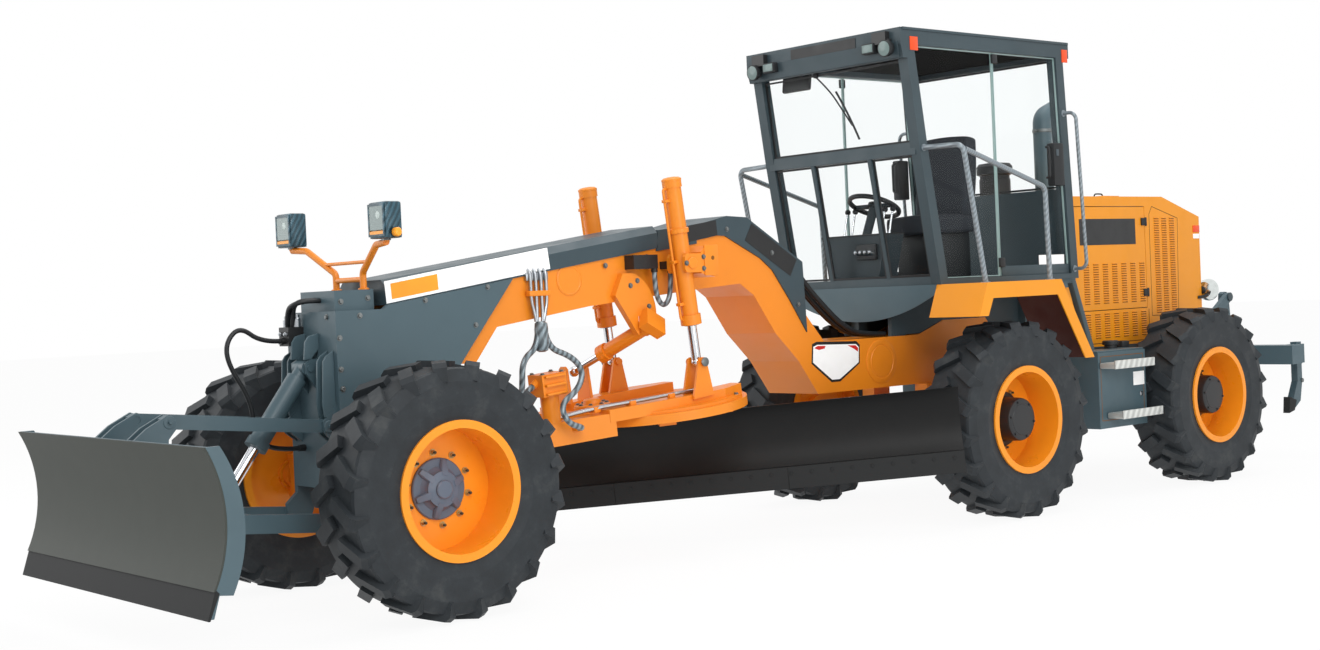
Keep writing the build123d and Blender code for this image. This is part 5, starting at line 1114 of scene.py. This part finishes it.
platePiece(
    "roofVisor",
    spots([(0.758, 0.76, 3.455), (0.758, -0.76, 3.455), (0.738, -0.76, 3.34), (0.738, 0.76, 3.34)]),
    (0.006, 0, 0), "slateDark", 0.002)
platePiece(
    "roofSign",
    spots([(0.757, 0.36, 3.53), (0.757, -0.3, 3.53), (0.757, -0.3, 3.455), (0.757, 0.36, 3.455)]),
    (0.004, 0, 0), "blackPaint", 0.001)
windscreen = {
    "upper": ((0.567, 2.748), (0.641, 3.33)),
    "lower": ((0.412, 1.78), (0.556, 2.652)),
}
for name, (low, high) in windscreen.items():
    spans = [(-0.696, 0.696)] if name == "upper" else [(-0.696, -0.306), (-0.274, 0.274), (0.306, 0.696)]
    for number, (right, left) in enumerate(spans):
        framePiece(
            "windscreenGasket" + name.title() + str(number),
            spots([(low[0], right, low[1]), (low[0], left, low[1]), (high[0], left, high[1]),
                   (high[0], right, high[1])]), 0.014, (0.014, 0, -0.002), "blackPlastic")
framePiece(
    "rearWindowGasket",
    spots([(-1.162, -0.696, 2.425), (-1.162, 0.696, 2.425), (-1.096, 0.696, 3.42), (-1.096, -0.696, 3.42)]),
    0.016, (-0.014, 0, 0), "blackPlastic")
print("cab dressed")


# Roof lamps, mirror and wiper

roundLamp = {
    "shell": [(0.02, -0.062), (0.045, -0.05), (0.058, -0.02), (0.06, 0.0), (0.06, 0.012), (0.055, 0.014)],
    "glass": [(0.054, 0.008), (0.052, 0.014), (0.035, 0.018), (0.01, 0.02)],
}
for side, y, z in (("Right", -0.656, 3.4), ("Left", 0.693, 3.405)):
    turnedPiece(
        "roofLampShell" + side, spot(0.815, y, z), (1, 0, -0.1), roundLamp["shell"], "blackPlastic", 28)
    turnedPiece("roofLampGlass" + side, spot(0.816, y, z), (1, 0, -0.1), roundLamp["glass"], "lens", 28)
    boxPiece("roofLampFoot" + side, spot(0.775, y, z + 0.045), (0.035, 0.03, 0.05), "blackPlastic")
for side, y, z in (("Right", -0.5, 3.42), ("Left", 0.52, 3.425)):
    boxPiece("roofWorkLamp" + side, spot(0.785, y, z), (0.055, 0.12, 0.075), "blackPlastic", 0.008)
    boxPiece("roofWorkLampGlass" + side, spot(0.812, y, z), (0.006, 0.1, 0.056), "lens", 0.002)
mirrorShape = {"middle": (0.52, -0.484, 3.313), "size": (0.04, 0.29, 0.135)}
boxPiece(
    "mirrorBack", spot(*mirrorShape["middle"]), mirrorShape["size"], "blackPlastic", 0.016, turn=(0, -8, 0))
boxPiece("mirrorGlass", spot(0.499, -0.484, 3.31), (0.004, 0.25, 0.105), "mirror", 0.001, turn=(0, -8, 0))
tubePiece(
    "mirrorArm", spots([(0.6, -0.3, 3.37), (0.56, -0.36, 3.37), (0.53, -0.42, 3.35), (0.52, -0.46, 3.33)]),
    0.008, "blackPlastic")
wiperArm = {
    "arm": [(0.66, -0.149, 3.315), (0.65, -0.02, 3.2), (0.632, 0.08, 3.05), (0.61, 0.16, 2.92)],
    "blade": [(0.655, 0.05, 3.18), (0.63, 0.15, 3.0), (0.6, 0.216, 2.812)],
}
tubePiece("wiperArm", spots(wiperArm["arm"]), 0.006, "blackPlastic")
tubePiece("wiperBlade", spots(wiperArm["blade"]), 0.008, "blackPlastic")
turnedPiece(
    "wiperPivot", spot(0.645, -0.149, 3.325), (1, 0, 0.1), [(0.024, 0), (0.024, 0.02), (0.014, 0.026)],
    "blackPlastic", 20)
print("roof lamps, mirror and wiper made")


# Seat, console and steering wheel

def cushionPiece(name, middle, size, turn):
    # swollen cushion, rounded by one level of smoothing
    piece = startBox(middle, size, min(size) * 0.22)
    bpy.ops.mesh.subdivide(number_cuts=2, smoothness=0.6)
    bpy.ops.object.mode_set(mode="OBJECT")
    piece.rotation_euler = Euler([math.radians(value) for value in turn])
    smoother = piece.modifiers.new("soft", "SUBSURF")
    smoother.levels = 1
    smoother.render_levels = 1
    settle(piece, name, "fabric", "chassis", 60)
    return piece


cushionPiece("seatCushion", spot(-0.415, 0, 2.18), (0.5, 0.5, 0.135), (0, 0, 0))
cushionPiece("seatBackrest", spot(-0.625, 0, 2.545), (0.145, 0.49, 0.64), (0, -6.6, 0))
boxPiece("seatBase", spot(-0.44, 0, 1.915), (0.39, 0.42, 0.395), "blackPlastic", 0.012)
platePiece(
    "consoleTop",
    spots([(0.305, 0.175, 2.108), (0.305, -0.505, 2.108), (0.095, -0.505, 2.112), (0.095, 0.175, 2.112)]),
    (0, 0, 0.012), "blackPlastic", 0.004)
boxPiece("leverBox", spot(0.312, -0.02, 1.985), (0.03, 0.2, 0.12), "blackPlastic", 0.01)
for number in range(4):
    turnedPiece(
        "leverCap" + str(number), spot(0.322, -0.09 + 0.047 * number, 1.97), (1, 0, 0.3),
        [(0.018, 0), (0.018, 0.02), (0.014, 0.05), (0.006, 0.056)], "zinc", 16)
for number, y in enumerate((-0.42, -0.34, -0.03, 0.05)):
    tubePiece(
        "consoleLever" + str(number), spots([(0.13, y, 2.11), (0.11, y, 2.2), (0.08, y, 2.3)]), 0.008,
        "chrome")
    turnedPiece(
        "consoleKnob" + str(number), spot(0.082, y, 2.29), (-0.3, 0, 1),
        [(0.01, 0), (0.02, 0.008), (0.023, 0.022), (0.018, 0.036), (0.006, 0.041)], "blackPlastic", 20)
steering = {"middle": spot(0.06, -0.16, 2.33), "radius": 0.195, "tube": 0.019}
column = Vector((-0.4, 0, 0.9)).normalized()
clearSelection()
bpy.ops.mesh.primitive_torus_add(
    location=(0, 0, 0), major_radius=steering["radius"], minor_radius=steering["tube"],
    major_segments=48, minor_segments=12)
rim = bpy.context.object
rim.location = steering["middle"] + column * 0.012
rim.rotation_euler = column.to_track_quat("Z", "Y").to_euler()
settle(rim, "steeringRim", "blackPlastic", "chassis", 60)
turnedPiece(
    "steeringBoss", steering["middle"] + column * 0.01, column,
    [(0.052, 0), (0.05, 0.02), (0.035, 0.03), (0.01, 0.032)], "blackPlastic", 28)
print("seat and console made")


# Headlamps on their bracket, turn lamps and rear lamps


def lampFace(x, y, half, low, high):
    # corners of an upright rectangle that looks ahead
    return spots([(x, y - half, low), (x, y + half, low), (x, y + half, high), (x, y - half, high)])


for tag, hand in bothSides:
    y = hand * 0.539
    boxPiece("headlampShell" + tag, spot(4.9, y, 2.2215), (0.112, 0.18, 0.206), "lampShell", 0.014)
    framePiece(
        "headlampRim" + tag, lampFace(4.955, y, 0.083, 2.13, 2.313), 0.012, (0.008, 0, 0), "lampShell")
    platePiece("headlampGlass" + tag, lampFace(4.956, y, 0.073, 2.165, 2.303), (0.005, 0, 0), "lens", 0.002)
    platePiece("headlampAmber" + tag, lampFace(4.956, y, 0.073, 2.14, 2.161), (0.006, 0, 0), "amber", 0.002)
    turnedPiece(
        "headlampBulb" + tag, spot(4.9605, y + 0.02, 2.25), (1, 0, 0),
        [(0.022, 0), (0.022, 0.001), (0.01, 0.0022)], "lampPale")
    turnedPiece(
        "headlampNut" + tag, spot(4.9, y, 2.108), (0, 0, 1), [(0.027, 0), (0.027, 0.012)], "boltSteel", 6)
    turnedPiece(
        "bracketFoot" + tag, spot(4.83, hand * 0.154, 1.84), (0, 0, 1),
        [(0.032, -0.001), (0.032, 0.007), (0.026, 0.01), (0.021, 0.011)], "orange", 28)
    sidePin(
        "turnLampBase" + tag, 4.9, 0.632, 2.15, hand, [(0.02, -0.01), (0.026, 0.004), (0.028, 0.012)],
        "blackPlastic")
    sidePin(
        "turnLamp" + tag, 4.9, 0.643, 2.15, hand,
        [(0.026, 0), (0.026, 0.024), (0.02, 0.032), (0.008, 0.034)], "amber")
for tag, hand in bothSides:
    boxPiece(
        "rearLamp" + tag, spot(-3.297, hand * 0.52, 1.255), (0.076, 0.128, 0.118), "blackPlastic", 0.008)
    boxPiece("rearLampRed" + tag, spot(-3.336, hand * 0.49, 1.255), (0.008, 0.05, 0.09), "redLens")
    boxPiece("rearLampAmber" + tag, spot(-3.336, hand * 0.55, 1.255), (0.008, 0.05, 0.09), "amber")
tubePiece("lampCrossbar", [spot(4.85, -0.25, 2.0), spot(4.85, 0.25, 2.0)], 0.011, "orange")
print("headlamps and rear lamps made")


# Hood: louvres, seams, hinges, plate, flap, reflectors and work lamps

hoodDress = {
    "y": 0.6,
    "doorColumns": (-1.6, -2.376, 7),
    "doorRows": (1.505, 1.82, 17),
    "lowRows": (1.225, 1.415, 11),
    "tallColumns": [-2.611, -2.7225, -2.838],
    "tallRows": (1.4, 2.19, 41),
    "slot": 0.074,
}
louvreHood = boxPiece(
    "louvreHood", (0, 0, 0), (hoodDress["slot"], 0.01, 0.007), "yellow", 0.0025, turn=(28, 0, 0))
# a thin darker strip just below each louvre: painted shade in the slot under its lip
louvreSlotShade = boxPiece(
    "louvreSlotShade", (0, -0.0015, -0.0062), (hoodDress["slot"] - 0.004, 0.004, 0.0065), "paintedShadeAndSeam", 0.001)


def louvrePlaces(columns, rows, hand):
    first, last, count = rows
    places = []
    for x in columns:
        for i in range(count):
            z = first + (last - first) * i / (count - 1)
            place = Matrix.Translation(spot(x, hand * (hoodDress["y"] + 0.0015), z))
            if hand < 0:
                place = place @ Matrix.Rotation(math.pi, 4, "Z")
            places.append(place)
    return places


first, last, count = hoodDress["doorColumns"]
columns = [first + (last - first) * i / (count - 1) for i in range(count)]
for tag, hand in bothSides:
    door = "engine_door_" + tag.lower()
    for part, model in (("Hoods", louvreHood), ("SlotShades", louvreSlotShade)):
        copiesOf(model, "doorLouvre" + part + tag, louvrePlaces(columns, hoodDress["doorRows"], hand), door)
        copiesOf(model, "lowLouvre" + part + tag, louvrePlaces(columns, hoodDress["lowRows"], hand))
        copiesOf(
            model, "tallLouvre" + part + tag,
            louvrePlaces(hoodDress["tallColumns"], hoodDress["tallRows"], hand))
dropModel(louvreHood)
dropModel(louvreSlotShade)

seams = {
    "low": [(-1.46, 1.172), (-2.456, 1.172), (-2.456, 1.178), (-1.46, 1.178)],
    "front": [(-1.457, 1.172), (-1.463, 1.172), (-1.463, 1.43), (-1.457, 1.43)],
    "rear": [(-2.453, 1.172), (-2.459, 1.172), (-2.459, 1.43), (-2.453, 1.43)],
}
rearPanel = [(-2.505, 2.225), (-2.55, 2.29), (-2.93, 2.19), (-2.9, 1.36), (-2.5, 1.37)]
for tag, hand in bothSides:
    y = hand * 0.5996
    for seamName, corners in seams.items():
        platePiece(
            "hoodSeam" + seamName.title() + tag, sideOutline(corners, y), (0, hand * 0.001, 0), "seamShade",
            0)
    framePiece("rearPanelSeam" + tag, sideOutline(rearPanel, y), 0.005, (0, hand * 0.001, 0), "seamShade")
    for number, z in enumerate((1.57, 2.16)):
        boxPiece(
            "doorLeaf" + tag + str(number), spot(-2.42, hand * 0.607, z), (0.075, 0.012, 0.062),
            "blackPlastic", body="engine_door_" + tag.lower())
        turnedPiece(
            "doorKnuckle" + tag + str(number), spot(-2.44, hand * 0.609, z - 0.036), (0, 0, 1),
            [(0.0095, 0), (0.0105, 0.002), (0.0105, 0.07), (0.0095, 0.072)], "blackPlastic", 16,
            "engine_door_" + tag.lower())
    sidePin(
        "doorLock" + tag, -1.45, 0.6, 1.9, hand, [(0.022, 0), (0.022, 0.003), (0.014, 0.005), (0.012, 0.01)],
        "blackPlastic", 20, "engine_door_" + tag.lower())
platePiece(
    "hoodPlate", sideOutline([(-1.525, 2.187), (-1.525, 1.975), (-2.3, 1.975), (-2.3, 2.187)], 0.6),
    (0, 0.002, 0), "blackPaint", 0, "engine_door_left")
boxPiece("hoodFlap", spot(-2.06, 0.36, 2.374), (0.24, 0.36, 0.012), "yellow", 0.004)
tubePiece(
    "hoodFlapHandle",
    spots([(-2.0, 0.42, 2.376), (-2.0, 0.42, 2.402), (-2.06, 0.42, 2.404), (-2.12, 0.42, 2.402),
           (-2.12, 0.42, 2.376)]), 0.006, "blackPlastic")
for tag, hand in bothSides:
    boxPiece(
        "hoodReflector" + tag, spot(-3.209, hand * 0.602, 2.093), (0.1, 0.006, 0.058), "orangeLens", 0.002)
    boxPiece(
        "hoodReflectorPlate" + tag, spot(-3.205, hand * 0.602, 2.03), (0.09, 0.004, 0.04), "white", 0.001)
    tubePiece(
        "workLampArm" + tag,
        spots([(-3.2, hand * 0.598, 1.5), (-3.25, hand * 0.63, 1.5), (-3.33, hand * 0.64, 1.53),
               (-3.36, hand * 0.62, 1.56)]), 0.014, "blackPaint")
    turnedPiece(
        "workLampShell" + tag, spot(-3.35, hand * 0.6, 1.56), (-1, 0, 0),
        [(0.03, -0.07), (0.07, -0.05), (0.09, -0.01), (0.095, 0.02), (0.095, 0.03), (0.088, 0.033)],
        "lampSilver", 32)
    turnedPiece(
        "workLampGlass" + tag, spot(-3.352, hand * 0.6, 1.56), (-1, 0, 0),
        [(0.087, 0.028), (0.084, 0.036), (0.05, 0.042), (0.015, 0.044)], "lens", 32)
    turnedPiece(
        "workLampBack" + tag, spot(-3.29, hand * 0.6, 1.56), (1, 0, 0),
        [(0.032, -0.004), (0.032, 0.02), (0.02, 0.028), (0.008, 0.03)], "blackPlastic")
print("hood dressed")


# Exhaust and air cleaner above the hood

stack = {"x": -1.9, "clampZ": (2.42, 2.95)}
for number, z in enumerate(stack["clampZ"]):
    turnedPiece(
        "stackClamp" + str(number), spot(stack["x"], 0, z), (0, 0, 1),
        [(0.08, 0), (0.084, 0.002), (0.084, 0.026), (0.08, 0.028)], "boltSteel", 40)
    boxPiece(
        "stackClampLug" + str(number), spot(stack["x"] + 0.095, 0, z + 0.014), (0.04, 0.03, 0.02),
        "boltSteel")
turnedPiece(
    "airCleaner", spot(-1.62, -0.3, 2.372), (0, 0, 1),
    [(0.13, -0.004), (0.13, 0.2), (0.124, 0.21), (0.124, 0.235), (0.15, 0.245), (0.15, 0.31), (0.13, 0.335),
     (0.05, 0.345)], "blackPlastic", 40)
print("exhaust and air cleaner made")


# Fenders, steps and side boxes

fenderUnder = [(0.508, 1.478), (0.412, 1.7045), (-0.434, 1.7045), (-0.797, 1.121)]
underLine = fenderUnder + [(x + 0.002 * (1 if x < 0 else -1), z - 0.0022) for x, z in reversed(fenderUnder)]
for tag, hand in bothSides:
    platePiece(
        "fenderUnder" + tag, sideOutline(underLine, hand * 0.7455), (0, hand * 0.449, 0), "redBrown", 0)
    for number, (x, z, length) in enumerate([(-1.41, 1.03, 0.52), (-1.495, 0.64, 0.53)]):
        boxPiece(
            "step" + tag + str(number), spot(x, hand * 1.08, z), (length + 0.006, 0.146, 0.045), "stepWrap",
            0.01)
        boxPiece(
            "stepLip" + tag + str(number), spot(x, hand * 1.148, z + 0.008), (length + 0.01, 0.014, 0.066),
            "stepWrap", 0.005)
    boxPiece("boxLid" + tag, spot(-1.455, hand * 0.87, 1.136), (0.62, 0.24, 0.014), "slate", 0.004)
    framePiece(
        "boxDoorSeam" + tag,
        sideOutline([(-1.17, 0.6), (-1.17, 1.1), (-1.74, 1.1), (-1.74, 0.6)], hand * 0.9996), 0.005,
        (0, hand * 0.001, 0), "paintedShadeAndSeam")
    sidePin("boxLatch" + tag, -1.7, 1.0, 0.78, hand, [(0.02, 0), (0.02, 0.004), (0.012, 0.007)], "zinc", 20)
    boxPiece(
        "fenderStrut" + tag, spot(-0.975, hand * 0.98, 1.42), (0.05, 0.05, 0.58), "slateDark", 0.006,
        turn=(0, 21, 0))
boxPiece("sideBoxSticker", spot(-1.674, 1.0005, 0.904), (0.148, 0.003, 0.107), "white", 0.001)
platePiece(
    "doorSticker", sideOutline([(-0.766, 1.905), (-0.766, 1.787), (-1.085, 1.787), (-1.085, 1.905)], 0.7632),
    (0, 0.001, 0), "white", 0, "cab_door_left")
turnedPiece(
    "fuelNeck", spot(-1.6, 0.8, 1.14), (0, 0, 1),
    [(0.05, -0.004), (0.05, 0.03), (0.064, 0.034), (0.064, 0.06), (0.058, 0.066), (0.02, 0.067)],
    "blackPlastic", 32)
boxPiece("tankValve", spot(-1.78, 0.78, 1.16), (0.1, 0.09, 0.07), "blackPlastic", 0.01)
print("fenders, steps and boxes dressed")


# Ripper: pin heads and tips

ripperPins = {
    "arms": [(-3.56, 0.86), (-4.0858, 1.1886)],
    "links": [(-3.56, 1.15), (-4.0858, 1.4786)],
    "y": 0.3703,
}
for body, places in (("ripper_arms", ripperPins["arms"]), ("ripper_links", ripperPins["links"])):
    for number, (x, z) in enumerate(places):
        for side, hand in bothSides:
            tag = body.split("_")[1].title() + str(number) + side
            sidePin(
                "ripperPin" + tag, x, ripperPins["y"], z, hand,
                [(0.04, -0.001), (0.04, 0.01), (0.034, 0.014), (0.014, 0.015)], "slateDark", body=body)
for number, y in enumerate((-0.82, 0, 0.82)):
    platePiece(
        "ripperTip" + str(number),
        sideOutline([(-4.22, 0.565), (-4.205, 0.425), (-4.2, 0.42), (-4.296, 0.44), (-4.335, 0.53)],
                    y + 0.033), (0, -0.066, 0), "edgeSteel", 0.003, "ripper")
    turnedPiece(
        "shankPin" + str(number), spot(-4.44, y + 0.0302, 0.7), (0, 1, 0),
        [(0.02, 0), (0.02, 0.008), (0.012, 0.01)], "boltSteel", 20, "ripper")
print("ripper dressed")

dropModel(wheelNut)
dropModel(frameBolt)
